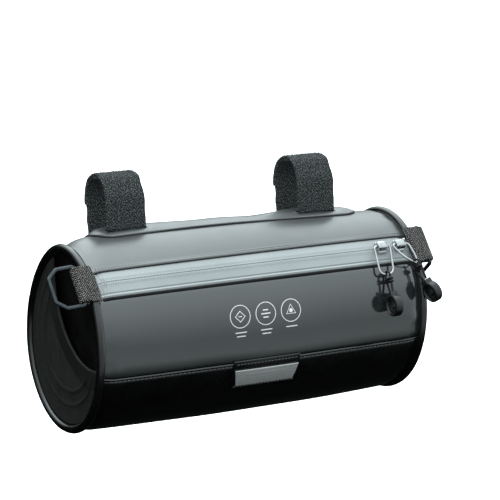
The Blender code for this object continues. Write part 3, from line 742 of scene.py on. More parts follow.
def make_skin(name, node, span, wall, lift, look, slot, spacing, rows=(), row_width=0.0006,
              rounding=WALL):
    """One panel of the wrap between two hemmed seams; its ends run in under the piping."""
    low, high = span[0] + SEAM / 2, span[1] - SEAM / 2
    end = PANEL_END + PANEL_UNDER
    places = samples(-end, end, spacing[0], HEM_RUN)
    angles = samples(low, high, turn_of(spacing[1]), turn_of(HEM_RUN), rows, turn_of(row_width))
    x, theta = np.meshgrid(places, angles)
    height, drop = lift(x, theta), hem(to_seam(theta, low, high), rounding)
    shape = Shape()
    shape.add_wall(shell(x, theta, height - drop), shell(x, theta, height - wall + drop),
                   flat=together(x, arc_of(theta)))
    shape.piece(name, LOOKS[look], [node])


def top_lift(x, theta):
    lift = panel_tension(x, theta)
    lift += TURNED_EDGE * (1 - step(theta, ZIP_TOP_STITCH, ZIP_TOP_STITCH + turn_of(HEM_RUN)))
    return lift - GROOVE_DEPTH * ridge(arc_of(theta - ZIP_TOP_STITCH), STITCH_GROOVE)


def front_lift(x, theta):
    return panel_tension(x, theta) - TURNED_EDGE * ridge(arc_of(theta - ZIP_LOW_ANGLE), 0.0012)


def guard_lift(x, theta):
    lift = GUARD_PROUD + panel_tension(x, theta)
    near_edge = to_seam(theta, GUARD_BACK_ANGLE, GUARD_FRONT_ANGLE)
    lift += GUARD_EDGE * ridge(near_edge - GUARD_EDGE_ROUND, GUARD_EDGE_ROUND)
    return lift - GROOVE_DEPTH * ridge(near_edge - STITCH_DROP, STITCH_GROOVE)


COIL_REACH, COIL_WIDTH, COIL_RELIEF = 0.0020, 0.0010, 0.00042
PUCKER_PITCH, PUCKER_RELIEF = 0.0023, 0.00028
ZIP_RIDGE, ZIP_RIDGE_WIDTH = 0.0006, 0.0036
ZIP_BEAD, ZIP_CREASE = 0.0011, 0.0008


def zip_lift(x, theta):
    """The film over the zip: a low ridge with the coil's turns pressed through it."""
    off = np.abs(arc_of(theta - ZIP_ANGLE))
    lift = ZIP_RIDGE * ridge(off, ZIP_RIDGE_WIDTH)
    coil = np.sin(2 * pi * x / COIL_PITCH) * ridge(off - COIL_REACH, COIL_WIDTH)
    from_end = PANEL_END - np.abs(x)
    pucker = np.sin(2 * pi * from_end / PUCKER_PITCH + 0.5 * np.sin(theta * 0.7))
    lift += COIL_RELIEF * coil - TAPE_SET_BACK
    lift += PUCKER_RELIEF * ridge(from_end, 0.008) * pucker - 0.0008 * ridge(from_end, 0.0055)
    lift += ZIP_BEAD * ridge(arc_of(theta - ZIP_LOW_BEAD), 0.0011)
    return lift - ZIP_CREASE * ridge(arc_of(theta - ZIP_LOW_CREASE), 0.0003)


def make_wrap():
    """The three panels, and the film over the zip's two tapes."""
    film = (TAPE_THICKNESS, zip_lift, "zip", "zip_grey", (COIL_PITCH / 6, 0.0006))
    make_skin("wrap_top", "top_panel", (ZIP_TOP_ANGLE, GUARD_BACK_ANGLE + 360), WALL, top_lift,
              "lit_top_satin", "coated_grey", (PANEL_STEP, 0.0020), (ZIP_TOP_STITCH,))
    make_skin("wrap_front", "front_panel", (GUARD_FRONT_ANGLE, ZIP_LOW_ANGLE), WALL, front_lift,
              "grey", "coated_grey", (PANEL_STEP, 0.0015))
    make_skin("guard_wrap", "lower_panel", (GUARD_BACK_ANGLE, GUARD_FRONT_ANGLE), WALL, guard_lift,
              "black", "gloss_black", (PANEL_STEP, 0.0022), (GUARD_STITCH,))
    make_skin("zip_upper", "zip_tape_upper", (ZIP_ANGLE, ZIP_TOP_ANGLE), *film,
              rounding=TAPE_ROUNDING)
    make_skin("zip_lower", "zip_tape_lower", (ZIP_LOW_ANGLE, ZIP_ANGLE), *film,
              (ZIP_LOW_CREASE,), 0.0003, TAPE_ROUNDING)


SEAM_END_ROOM = 0.003
PLY_RADIUS = 0.00046
PLY_TURN = 0.0040
PLY_STEP = 0.0003


def make_seam_stitches():
    """Rows of stitches: each has its look, its spans, its angle, and then the lift, the pitch,
    the length and the radius of a stitch."""
    end = PANEL_END - SEAM_END_ROOM
    tab_ends = [REFLECTOR_CENTRE + side * TAB_LENGTH / 2 for side in (-1, 1)]
    whole, beside_tab = [(-end, end)], [(-end, tab_ends[0]), (tab_ends[1], end)]
    guard = (GUARD_PROUD, 0.0031, 0.0020, 0.00024)
    for name, look, spans, theta, sizes in (
            # The row at the zip's top edge: real dark thread, made thick and sunk into the gap so it also
            # draws the shadow under the fold's edge, which is painted shade.
            ("zip_edge_and_shadow", "thread", whole, ZIP_TOP_ANGLE, (-0.0001, 0.0027, 0.0022, 0.00048)),
            ("zip_top", "thread", whole, ZIP_TOP_STITCH, (-0.0001, 0.0024, 0.0017, 0.00026)),
            ("guard_front", "pale_thread", beside_tab, GUARD_STITCH, guard),
            ("guard_back", "pale_thread", whole, GUARD_BACK_STITCH, guard)):
        shape = Shape()
        for span in spans:
            stitch_round(shape, span, theta, *sizes)
        shape.piece("stitches_" + name, LOOKS[look])

    # Two plies of thick thread, twisted together along the zip's lower seam
    shape = Shape()
    x = np.arange(-end, end, PLY_STEP)
    for ply in (0, pi):
        turn = 2 * pi * x / PLY_TURN + ply
        theta = ZIP_LOW_ANGLE + np.degrees(PLY_RADIUS * np.cos(turn) / BODY_RADIUS)
        path = shell(x, theta, 0.0002 + 0.00030 * np.sin(turn))
        shape.add_tube(path, outward(ZIP_LOW_ANGLE), round_profile(PLY_RADIUS, 8))
    shape.piece("thread_zip_low", LOOKS["thread"])


def make_edging(side, label):
    """The piping round an end: a covered cord, a little uneven along its length."""
    angles = np.linspace(0, 360, 300, endpoint=False)
    sides = 22
    turns = 2 * pi * (np.arange(sides) + 0.5) / sides
    swell = 1 + 0.025 * waves(arc_of(angles)[:, None], turns * 0.004, 0.03, 11 + side)
    profile = round_profile(PIPING_RADIUS, sides) * swell[..., None]
    shape = Shape()
    shape.add_tube(bead_centre(side, angles), (1, 0, 0), profile, True)
    shape.piece("edging_" + label, LOOKS["black"], ["piping_" + label])


CAP_RINGS = (1.0, 0.985, 0.96, 0.92, 0.86, 0.78, 0.68, 0.56, 0.42, 0.26, 0.10, 0.02)
CAP_FOLD = 0.0006


def make_end(side, label):
    """A round end: coated cloth, hollowed towards its middle, with a few soft folds."""
    theta, share = np.meshgrid(np.linspace(0, 360, 145), CAP_RINGS)
    edge = shell_radius(side * PANEL_END, theta) - WALL - GAP
    turn, reach = np.radians(theta), share * 0.06
    folds = waves(reach * np.cos(turn), reach * np.sin(turn), 0.05, 21)
    folds += 0.6 * np.sin(turn * 3 + share * 5)
    hollow = CAP_HOLLOW * (1 - share ** 2) + CAP_FOLD * folds * (1 - share ** 4)
    shape = Shape()
    shape.add_wall(*(around(side * (HALF_LENGTH - CAP_RECESS - depth - hollow), theta, edge * share)
                     for depth in (0, CAP_THICKNESS)))
    shape.piece("end_" + label, LOOKS["cap"], ["end_cap_" + label])


MOUTH = np.array(POCKET_MOUTH)
POCKET_FOLD = 0.0008
POCKET_FOLDS = ((0.012, 0.10, 0.01, 0.0016), (0.025, 0.14, 0.02, 0.0018))
BINDING_HALF = POCKET_THICKNESS / 2 + 0.0005
BINDING_COLUMNS = 9


def pocket_edge(side, theta):
    bead = bead_centre(side, theta) - AXIS
    reach = np.hypot(bead[..., 1], bead[..., 2]) - PIPING_RADIUS - 2 * GAP
    points = around(0.0, theta, reach) - AXIS
    points[..., 0] = 0
    return points


def mouth_angle(side, low, high):
    """The angle between two others at which the pocket's mouth meets its edge."""
    for _ in range(40):
        middle = (low + high) / 2
        off = Vector(pocket_edge(side, np.array(middle))) - POCKET_MOUTH
        low, high = (middle, high) if off.length < POCKET_MOUTH_RADIUS else (low, middle)
    return (low + high) / 2


def pocket_sheet(side, share, theta):
    """The pocket's place and its own folds; share is 0 at the piping and 1 at the mouth."""
    edge = pocket_edge(side, theta)
    mouth = MOUTH + unit(edge - MOUTH) * POCKET_MOUTH_RADIUS
    points = edge + (mouth - edge) * share[..., None]
    y, z = points[..., 1], points[..., 2]
    from_rim = np.linalg.norm(points - edge, axis=-1)
    middle = np.sin(pi * np.clip(share, 0, 1))
    folds = 0.0007 * ridge(y - 0.012 - 0.25 * z, 0.0022)
    for start, slope, drop, width in POCKET_FOLDS:
        folds += POCKET_FOLD * ridge(from_rim - start - slope * np.abs(z + drop), width)
    folds *= middle
    folds += POCKET_FOLD / 2 * waves(y, z, 0.030, 31) * middle
    x = HALF_LENGTH - POCKET_SET_BACK + POCKET_BULGE * np.sin(pi * share / 2) * 0.5 + folds
    return x, y, z


def make_pocket(side, label):
    """The stretch mesh over the lower rear of an end, and the elastic along its mouth."""
    first = mouth_angle(side, 60.0, 200.0) + 1.0
    last = 360 + mouth_angle(side, 60.0, -120.0) - 1.0
    theta, share = np.meshgrid(np.linspace(first, last, 150), np.linspace(0, 1, 90))
    x, y, z = pocket_sheet(side, share, theta)
    shape = Shape()
    shape.add_wall(*(together(side * (x - depth), y, z) + AXIS for depth in (0, POCKET_THICKNESS)),
                   flat=together(y, z))
    shape.piece("pocket_" + label, LOOKS["mesh"], ["mesh_pocket_" + label])

    # The elastic folds over the mouth: its outside, its rolled edge and its inside
    theta = np.linspace(first + 0.5, last - 0.5, 170)
    edge = pocket_edge(side, theta)
    inward = unit(MOUTH - edge)
    depth = np.linalg.norm(edge - MOUTH, axis=-1) - POCKET_MOUTH_RADIUS
    width = np.minimum(BINDING_WIDTH, 0.8 * np.abs(depth))
    face, none = np.linspace(0, 1, BINDING_COLUMNS), np.zeros(BINDING_COLUMNS)
    turns = np.radians(np.linspace(90, -90, BINDING_COLUMNS))
    lift = BINDING_HALF * np.concatenate((none + 1, np.sin(turns), none - 1))
    beyond = BINDING_HALF * np.concatenate((none, np.cos(turns), none))
    rows = []
    for k, spot in enumerate(theta):
        shares = 1 - width[k] * (1 - face) / max(abs(depth[k]), 1e-5)
        shares = np.concatenate((shares, none + 1, shares[::-1]))
        x, y, z = pocket_sheet(side, shares, np.full(len(shares), spot))
        rows.append(AXIS + together(side * (x - POCKET_THICKNESS / 2 + lift),
                                    y + inward[k, 1] * beyond, z + inward[k, 2] * beyond))
    shape = Shape()
    flat = together(*np.meshgrid(np.linspace(0, 2 * BINDING_WIDTH, len(lift)), arc_of(theta)))
    shape.add_rings(np.array(rows), flat=flat)
    shape.piece("pocket_binding_" + label, LOOKS["binding"])


# The strip and the straps

STRIP_HALF = STRIP_LENGTH / 2
STRIP_LOW, STRIP_HIGH = STRIP_ANGLE - STRIP_HALF_ANGLE, STRIP_ANGLE + STRIP_HALF_ANGLE
STRIP_EDGE_WALL = 0.0009
STRIP_WAVE = 0.0005
EDGE_AND_SHADOW_RADIUS = 0.00048
STRAP_PLACES = [side * STRAP_SPACING / 2 - BAG_AXIS.x for side in (-1, 1)]
SLOT_HALF = STRAP_WIDTH / 2 + SLOT_END_ROOM


def strip_lift(x, theta):
    crown = STRIP_CROWN
    for place in STRAP_PLACES:
        near = np.maximum(0, 1 - np.abs(x - place) / STRIP_STRAP_REACH)
        crown = crown + STRIP_STRAP_CROWN * np.sin(pi / 2 * near) ** 2
    to_end = np.clip((STRIP_HALF - np.abs(x)) / STRIP_CORNER, 0, 1)
    width_share = (theta - STRIP_ANGLE) / STRIP_HALF_ANGLE
    return GAP + crown * to_end * (2 - to_end) * np.maximum(0, 1 - width_share ** 2)


def strip_end(theta):
    """How far the strip reaches along the bag at an angle, with its corners rounded."""
    off_edge = radians(STRIP_HALF_ANGLE - abs(theta - STRIP_ANGLE)) * BODY_RADIUS
    into_corner = max(0.0, STRIP_CORNER - off_edge)
    return STRIP_HALF - STRIP_CORNER + sqrt(max(0.0, STRIP_CORNER ** 2 - into_corner ** 2))


def make_strip():
    """The reinforcement along the top: wavy between the straps, with hemmed edges."""
    inner_room, outer_room = turn_of(SLOT_INNER_ROOM), turn_of(SLOT_OUTER_ROOM)
    spans = ((STRAP_FRONT_ANGLE - outer_room, STRAP_FRONT_ANGLE + inner_room),
             (STRAP_REAR_ANGLE - inner_room, STRAP_REAR_ANGLE + outer_room))
    slots = [(place, *span) for place in STRAP_PLACES for span in spans]
    angles = samples(STRIP_LOW, STRIP_HIGH, turn_of(0.0009), turn_of(0.0010))
    for border in (*spans[0], *spans[1]):
        angles[np.argmin(np.abs(angles - border))] = border
    shares = samples(-1, 1, 0.011, 0.0010 / STRIP_HALF)
    for border in [place + sign * SLOT_HALF for place in STRAP_PLACES for sign in (-1, 1)]:
        shares[np.argmin(np.abs(shares * STRIP_HALF - border))] = border / STRIP_HALF
    share, theta = np.meshgrid(shares, angles)
    ends = np.array([strip_end(value) for value in angles])[:, None]

    # Past the corners' start the columns close up to follow the rounded ends
    x = share * STRIP_LENGTH / 2
    straight = STRIP_HALF - STRIP_CORNER
    beyond = (np.abs(x) - straight) / STRIP_CORNER
    squeezed = np.sign(x) * (straight + beyond * (ends - straight))
    x = np.where(np.abs(x) > straight, squeezed, x)
    to_edge = np.minimum(to_seam(theta, STRIP_LOW, STRIP_HIGH), ends - np.abs(x))
    middle_x = (x[:-1, :-1] + x[1:, 1:]) / 2
    middle_theta = (theta[:-1, :-1] + theta[1:, 1:]) / 2
    kept = np.ones(middle_x.shape, bool)
    for place, low, high in slots:
        beside = np.maximum(np.abs(x - place) - SLOT_HALF, 0)
        above = np.maximum(np.maximum(arc_of(low - theta), arc_of(theta - high)), 0)
        to_edge = np.minimum(to_edge, np.hypot(beside, above))
        inside = (middle_theta > low) & (middle_theta < high)
        kept &= ~(inside & (np.abs(middle_x - place) < SLOT_HALF))
    flat = together(x, arc_of(theta))
    wave = waves(x, arc_of(theta), 0.040, 41) * step(to_edge, 0, 0.008)
    lift = strip_lift(x, theta) + STRIP_WAVE * wave
    wall = STRIP_EDGE_WALL + (STRIP_THICKNESS - STRIP_EDGE_WALL) * step(to_edge, 0, 0.006)
    drop = hem(to_edge, STRIP_EDGE_WALL)
    shape = Shape()
    shape.add_wall(shell(x, theta, lift + wall - drop), shell(x, theta, lift + drop), kept, flat)
    shape.piece("top_strip", LOOKS["lit_top_satin"], ["mount_strip"])


def make_strip_edge():
    """A thin black cord round the strip: its dark cut edge, and painted shade for the shadow gap beneath
    it.
    """
    count = 120
    angles = np.linspace(STRIP_LOW, STRIP_HIGH, count)
    ends = np.array([strip_end(theta) for theta in angles]) + 0.0003
    straight = np.linspace(-ends[0], ends[0], count)
    off = turn_of(0.0003)
    x = np.concatenate((straight, ends, -straight, -ends))
    theta = np.concatenate((np.full(count, STRIP_LOW - off), angles,
                            np.full(count, STRIP_HIGH + off), angles[::-1]))
    path = resample(shell(x, theta, 0.0004), 0.001, True)
    out = (path - AXIS) * (0, 1, 1)
    shape = Shape()
    shape.add_tube(path, out, round_profile(EDGE_AND_SHADOW_RADIUS, 8), True)
    shape.piece("strip_edge_and_shadow_line", LOOKS["thread"])


def strap_path(place):
    """The strap's middle line round the bar, down through the strip and back."""
    inner_reach = BAR_RADIUS + GAP + STRAP_THICKNESS / 2
    outer_reach = inner_reach + STRAP_THICKNESS + GAP
    under = GAP + STRAP_THICKNESS / 2
    angles = np.linspace(STRAP_REAR_ANGLE, STRAP_FRONT_ANGLE, 12)
    across_strap = place - BAG_AXIS.x + STRAP_WIDTH / 2 * np.array((-1, 0, 1))
    highest = shell_radius(across_strap[:, None], angles[None]).max(axis=0)
    run = [Vector((0, p[1], p[2])) for p in around(0.0, angles, highest + under)]

    def touching(point, side):
        towards = degrees(atan2(point.z, point.y))
        return towards + side * degrees(acos(inner_reach / point.length))

    def arc(reach_at, start, end, steps):
        return [Vector((0, reach_at(turn) * cos(radians(turn)), reach_at(turn) * sin(radians(turn))))
                for turn in np.linspace(start, end, steps)]

    rear, front = touching(run[0], 1), touching(run[-1], -1) + 360
    lap = [STRAP_LAP_START + turn for turn in STRAP_LAP_RAMP]

    def wrap_reach(turn):
        return inner_reach + (outer_reach - inner_reach) * (1 - step(turn, *lap))

    first = arc(lambda turn: inner_reach, STRAP_LAP_START, rear, 40)
    last = arc(wrap_reach, front, STRAP_LAP_END, 90)
    bends = rounded([first[-1], run[0], *run[1:-1], run[-1], last[0]], STRAP_BEND, 6, False)
    path = resample([*first[:-1], *bends, *last[1:]], STRAP_STEP, False)
    path[:, 0] += place
    return path


BAND_EDGE = 0.0006
TWILL_RELIEF = 0.00004
PILE_WAVES = ((0.00012, 0.0024, 51), (0.00008, 0.006, 52))
EDGE_WAVE = 0.00035
FIBRE_RADIUS = 0.00005
FIBRE_TALL = (0.0003, 0.0009)
FIBRE_WIDE = (0.0003, 0.0012)


def make_band(place, label):
    """A hook-and-loop strap: brushed pile outside, and loose fibres standing from it."""
    path = strap_path(place)
    half, across_half = STRAP_THICKNESS / 2, STRAP_WIDTH / 2
    face = across_half - BAND_EDGE
    profile = np.array([*((-half, b) for b in np.linspace(-face, face, 8)),
                        *((half * 0.7 * a, across_half) for a in (-1, 0, 1)),
                        *((half, b) for b in np.linspace(face, -face, 48)),
                        *((half * 0.7 * a, -across_half) for a in (1, 0, -1))])
    base = np.broadcast_to(profile, (len(path), *profile.shape)).copy()
    v, u = np.meshgrid(np.arange(len(path)) * STRAP_STEP, profile[:, 1], indexing="ij")
    fuzz = TWILL_RELIEF * np.sin(2 * pi * (u + TWILL_SLOPE * v) / TWILL_PITCH)
    for tall, size, seed in PILE_WAVES:
        fuzz += tall * waves(u, v, size, seed)
    edge_wave = EDGE_WAVE * waves(v, 0 * v, 0.012, 53)
    base[..., 0] += np.where(profile[:, 0] > half * 0.9, fuzz, 0)
    base[..., 1] += np.sign(profile[:, 1]) * edge_wave * (np.abs(profile[:, 1]) / across_half) ** 4
    across = np.array((1.0, 0, 0))
    shape = Shape()
    shape.add_tube(path, across, base, flat=together(u, v))
    shape.piece("band_" + label, LOOKS["pile"], ["strap_" + label], sharp=60.0)

    # Loose fibres on the outer face, where it shows
    draw = np.random.default_rng(60 + len(label))
    tangents = unit(np.gradient(path, axis=0))
    normals = np.cross(across, tangents)
    ring = FIBRE_RADIUS * np.array([(1, 0, 0), (-0.5, 0.87, 0), (-0.5, -0.87, 0)])
    shape = Shape()
    for _ in range(FIBRES):
        k = int(draw.integers(4, len(path) - 4))
        b = draw.uniform(-across_half, across_half)
        along, normal = tangents[k], normals[k]
        root = path[k] + across * b + normal * (half - 0.0001)
        lean = unit(along * draw.normal(0, 1) + across * draw.normal(0, 1))
        tall, wide = draw.uniform(*FIBRE_TALL), draw.uniform(*FIBRE_WIDE)
        spine = np.array([root, root + normal * tall + lean * wide * 0.5,
                          root + lean * wide + normal * tall * draw.uniform(-0.1, 0.9)])
        shape.add_rings(spine[:, None] + ring @ np.stack((across, along, normal)))
    shape.piece("band_fibres_" + label, LOOKS["pile"], sharp=180.0)


# The webbing and the D-rings

def ring_frame(side):
    """A D-ring bar's middle, its direction, the way out from the bag, and the bead's middle."""
    low, high, middle = (Vector(bead_centre(side, np.array(WEBBING_ANGLE + shift)))
                         for shift in (-WEBBING_SPREAD, WEBBING_SPREAD, 0.0))
    along = (high - low).normalized()
    away = outward(WEBBING_ANGLE)
    out = (away - along * away.dot(along)).normalized()
    centre = middle + out * (OVER_BEAD - LOOP_REACH)
    centre.x = BAG_AXIS.x + side * (HALF_LENGTH + RING_BAR_OUT)
    return centre, along, out, middle


WEAVE_RELIEF = 0.00012
LOOP_COLUMNS = 64
LOOP_ROWS = 130


def make_loop(side, label):
    """A short loop of tweed webbing from the wrap over the piping to the D-ring's bar."""
    centre, along, out, middle = ring_frame(side)
    half = WEBBING_THICKNESS / 2

    def bent(point, away, reach, turn):
        turn = radians(turn)
        return point + away * (reach * sin(turn)) + Vector((side * reach * cos(turn), 0, 0))

    outer, inner, flat = [], [], []
    for theta in np.linspace(WEBBING_ANGLE - WEBBING_SPREAD, WEBBING_ANGLE + WEBBING_SPREAD,
                             LOOP_COLUMNS):
        bead = Vector(bead_centre(side, np.array(theta)))
        bar = centre + along * (bead - middle).dot(along)
        tail = bar - out * LOOP_REACH
        tail.x = BAG_AXIS.x + side * (HALF_LENGTH + 1.5 * GAP)
        path = [*(shell(side * x, theta, GAP + half + END_TUCK)
                  for x in (HALF_LENGTH - WEBBING_REACH_IN, PANEL_END)),
                *(bent(bead, outward(theta), OVER_BEAD, turn) for turn in (125, 90)),
                *(bent(bar, out, LOOP_REACH, turn) for turn in range(90, -91, -15)), tail]
        line = smooth_line(path, LOOP_ROWS)
        normal = unit(-np.cross(np.array(along), np.gradient(line, axis=0)) * side)
        v = lengths_along(line)
        u = float(arc_of(theta - WEBBING_ANGLE))
        weave = np.sin(2 * pi * u / WEAVE_PITCH) * np.sin(2 * pi * v / WEAVE_PITCH)
        drop = float(hem(WEBBING_WIDTH / 2 - abs(u) * 0.995, WEBBING_THICKNESS))
        lift = normal * (half - drop + WEAVE_RELIEF * weave[:, None])
        outer.append(line + lift)
        inner.append(line - lift)
        flat.append(together(np.full(LOOP_ROWS, u), v))
    shape = Shape()
    shape.add_wall(np.array(outer), np.array(inner), flat=np.array(flat))
    shape.piece("loop_" + label, LOOKS["tweed"], ["webbing_" + label])


RING_BEVEL = 0.0011


def make_d_ring(side, label):
    """A D-ring of flat-sided wire, on its own body."""
    centre, along, out, _ = ring_frame(side)
    half = WEBBING_WIDTH / 2 + RING_SIDE_ROOM + RING_BAR_RADIUS
    corners = [Vector((a, b, 0)) for a, b in (
        (-half, 0), (half, 0), (half, RING_SHOULDER), (RING_OUTER_HALF, RING_DEPTH),
        (-RING_OUTER_HALF, RING_DEPTH), (-half, RING_SHOULDER))]
    path = np.array([*rounded(corners, RING_CORNER, 8, True)])
    turn = radians(RING_LEANS[label])
    reach = Vector((side, 0, 0)) * cos(turn) - out * sin(turn)
    normal = along.cross(reach)
    points = path @ np.array(Matrix((along, reach, normal))) + np.array(centre)
    profile = flat_profile(RING_BAR_RADIUS, RING_BAR_RADIUS * 0.9, RING_BEVEL)
    shape = Shape()
    shape.add_tube(points, normal, profile, True)
    shape.piece("ring_" + label, LOOKS["ring"], ["dring_" + label],
                body="dring_" + label, sharp=50.0)


# The pulls

def slider_frame(pull):
    """A slider's place on the zip, with its down and outward directions."""
    up = outward(ZIP_ANGLE)
    down = Vector((0, -up.z, up.y))
    return Vector(shell(pull["place"], ZIP_ANGLE, GAP)), down, up


# Half of a slider's outline, as shares of its half width and its height
SLIDER_OUTLINE = ((0.96, 0.0), (1.0, 0.12857), (0.97, 0.28929), (0.80, 0.36964), (0.72, 0.54643),
                  (0.68, 0.74), (0.52, 0.93), (0.22, 1.0))


def make_slider(pull, label):
    """A domed slider with side wings and a tunnel for the wire."""
    centre, down, up = slider_frame(pull)
    outline = smooth_line([(a * SLIDER_WIDTH / 2, b * SLIDER_HEIGHT, 0)
                           for a, b in SLIDER_OUTLINE], 20)[:, :2]
    outline = np.concatenate((outline, outline[::-1] * (-1, 1)))
    turns = 2 * pi * (np.arange(len(outline)) + 0.5) / len(outline) - pi / 2
    hole = SLIDER_TUNNEL * together(np.cos(turns), np.sin(turns)) + (0, SLIDER_TUNNEL_HEIGHT)
    low_room = SLIDER_TUNNEL_HEIGHT + SLIDER_TUNNEL + GAP
    above = outline[:, 1] > low_room
    places = np.linspace(-1, 1, 23)
    rings = []
    for place in places:
        swell = sqrt(max(0.0, 1 - abs(place) ** 5))
        section = outline * (0.80 + 0.20 * swell, 0.72 + 0.28 * swell)
        section[above, 1] = np.maximum(section[above, 1], low_room)
        rings.append((place, section))
    rings += [(place, hole) for place in places[::-1]]
    points = [[centre + Vector((place * SLIDER_LENGTH / 2, 0, 0)) + down * a + up * b
               for a, b in ring] for place, ring in rings]
    shape = Shape()
    shape.add_rings(np.array(points), closed=True)
    shape.piece("slider_" + label, LOOKS["silver"], ["zip_slider_" + label], sharp=30.0)


def make_wire_loop(pull, label):
    centre, _, up = slider_frame(pull)
    top = centre + up * SLIDER_TUNNEL_HEIGHT
    foot = Vector(shell(*pull["foot"]))
    length, axis = (foot - top).length, (foot - top).normalized()
    half, low, bend = WIRE_TOP_HALF, WIRE_FOOT_HALF, 11
    corners = [Vector(p) for p in ((half, 0, 0), (low, length, 0), (-low, length, 0),
                                   (-half, 0, 0))]
    wide = rounded(corners, low * WIRE_FOOT_ROUNDNESS, bend - 1, True)
    tight = rounded(corners, WIRE_CORNER, bend - 1, True)
    flat = resample(tight[:bend] + wide[bend:3 * bend] + tight[3 * bend:], WIRE_STEP, True)
    points, across = [], []
    for x, y, _ in flat:
        turn = Matrix.Rotation(-radians(pull["twist"]) * (y / length) ** 2, 3, axis)
        points.append(top + turn @ Vector((1, 0, 0)) * x + axis * y)
        across.append(turn @ Vector((1, 0, 0)).cross(axis))
    shape = Shape()
    shape.add_tube(points, across, round_profile(WIRE_RADIUS, 12), True)
    shape.piece("wire_loop_" + label, LOOKS["silver"], ["pull_ring_" + label])
    return foot


def pull_frame(route):
    """A pull's middle and its sideways, up and flat directions, from its cord's two ends."""
    first, last = Vector(route[0]), Vector(route[-1])
    up = ((Vector(route[1]) - first) + (Vector(route[-2]) - last)).normalized()
    sideways = (last - first) - up * (last - first).dot(up)
    sideways.normalize()
    return (first + last) / 2 - up * (PULL_NECK_HEIGHT + GAP), sideways, up, sideways.cross(up)


# The disc's face from its middle outwards: shares of its radius and of its half thickness
DISC_FACE = ((0.0, 0.42), (0.10, 0.42), (0.13, 0.56), (0.22, 0.58), (0.26, 0.40), (0.44, 0.36),
             (0.50, 0.50), (0.58, 0.52), (0.62, 0.34), (0.74, 0.40), (0.78, 0.90), (0.82, 1.0),
             (0.90, 1.0))
DISC_SIDES = 96


def make_pull(route, label):
    """A moulded disc with a rim, a ringed hollow on each face and a neck for the cord."""
    centre, sideways, up, flat = pull_frame(route)
    turns = np.linspace(0, 2 * pi, DISC_SIDES, endpoint=False)
    whole = np.ones(DISC_SIDES)
    reach = PULL_END_RADIUS * whole
    for k, turn in enumerate(turns):
        if sin(turn) > 0:
            to_side = PULL_NECK_HALF / max(1e-9, abs(cos(turn)))
            reach[k] = max(PULL_END_RADIUS, min(PULL_NECK_HEIGHT / sin(turn), to_side))
    half = PULL_END_THICKNESS / 2
    rows = [(share * PULL_END_RADIUS * whole, height * half) for share, height in DISC_FACE]
    for turn in np.radians((20, 45, 70, 90)):
        edge = reach - 0.10 * PULL_END_RADIUS * (1 - sin(turn))
        rows.append((edge, half * (0.62 + 0.38 * cos(turn))))
    rows += [(row, -height) for row, height in reversed(rows)]
    rows[0] = (1e-5 * whole, rows[0][1])
    rows[-1] = (1e-5 * whole, rows[-1][1])
    points = np.array([[centre + sideways * (r * cos(t)) + up * (r * sin(t)) + flat * height
                        for r, t in zip(row, turns)] for row, height in rows])
    shape = Shape()
    shape.add_rings(points)
    return shape.piece("pull_disc_" + label, LOOKS["rubber"], ["pull_end_" + label])


CORD_COUNT = 190
BRAID_PITCH = 0.0022
BRAID_RELIEF = 0.07
KNOT_TURNS = ((-0.0007, 0.10), (0.0007, -0.12))
KNOT_RADIUS = 0.00075


def make_cord(route, label, disc):
    """A braided cord from the disc, round the wire loop and back, with a knot below the loop."""
    path = smooth_line(route, CORD_COUNT)
    _, sideways, up, flat = pull_frame(route)
    sides = 16
    turns = 2 * pi * (np.arange(sides) + 0.5) / sides
    v = 2 * pi * np.linspace(0, CORD_COUNT * 0.00018, CORD_COUNT)[:, None] / BRAID_PITCH
    braid = np.sin(turns * 4 + v) * np.sin(turns * 4 - v)
    profile = round_profile(PULL_CORD_RADIUS, sides) * (1 + BRAID_RELIEF * braid)[..., None]
    shape = Shape()
    shape.add_tube(path, flat, profile)
    cord = shape.piece("cord_" + label, LOOKS["thread"], ["pull_cord_" + label])

    # The knot wraps both strands
    first, last = Vector(route[2]), Vector(route[8])
    spot = (first + last) / 2
    reach = (last - first).length / 2 + PULL_CORD_RADIUS * 1.6
    shape = Shape()
    for shift, tilt in KNOT_TURNS:
        path_round = [spot + up * (shift + tilt * reach * cos(turn)) + sideways * (reach * cos(turn))
                      + flat * (PULL_CORD_RADIUS * 2.1 * sin(turn))
                      for turn in np.linspace(0, 2 * pi, 40, endpoint=False)]
        shape.add_tube(path_round, up, round_profile(KNOT_RADIUS, 10), True)
    knot = shape.piece("knot_" + label, LOOKS["thread"])


# The reflector and the prints

def make_badge(name, node, lengths, angles, lift, look):
    """A flat piece on the guard panel with rounded edges; lengths are its low and top edges."""
    share, theta = np.meshgrid(samples(-1, 1, 0.05, 0.05),
                               samples(*angles, turn_of(0.0012), turn_of(0.0012)))
    up_share = (theta - angles[0]) / (angles[1] - angles[0])
    length = lengths[0] + (lengths[1] - lengths[0]) * up_share
    x = REFLECTOR_CENTRE + share * length / 2
    to_edge = np.minimum(to_seam(theta, *angles), (1 - np.abs(share)) * length / 2)
    height = lift + BADGE_CROWN * (1 - share ** 2) * np.sin(pi * up_share)
    drop = hem(to_edge, BADGE_THICKNESS)
    shape = Shape()
    shape.add_wall(shell(x, theta, height + BADGE_THICKNESS - drop), shell(x, theta, height + drop),
                   flat=together(x, arc_of(theta)))
    shape.piece(name, LOOKS[look], [node])


def make_reflector():
    lift = GUARD_PROUD + GAP
    make_badge("badge_tab", "reflector_tab", (TAB_LENGTH, TAB_LENGTH), TAB_ANGLES, lift,
               "black")
    make_badge("badge_patch", "reflector_patch", (PATCH_LOW_LENGTH, PATCH_TOP_LENGTH), PATCH_ANGLES,
               lift + BADGE_THICKNESS + GAP, "film")
    shape = Shape()
    half = TAB_LENGTH / 2 - 0.002
    ends = (REFLECTOR_CENTRE - half, REFLECTOR_CENTRE + half)
    for theta in (TAB_ANGLES[1] - turn_of(0.0025), TAB_ANGLES[0] + turn_of(0.0012)):
        stitch_round(shape, ends, theta, lift + BADGE_THICKNESS, 0.0026, 0.0018, 0.00026)
    shape.piece("stitches_badge", LOOKS["pale_thread"])


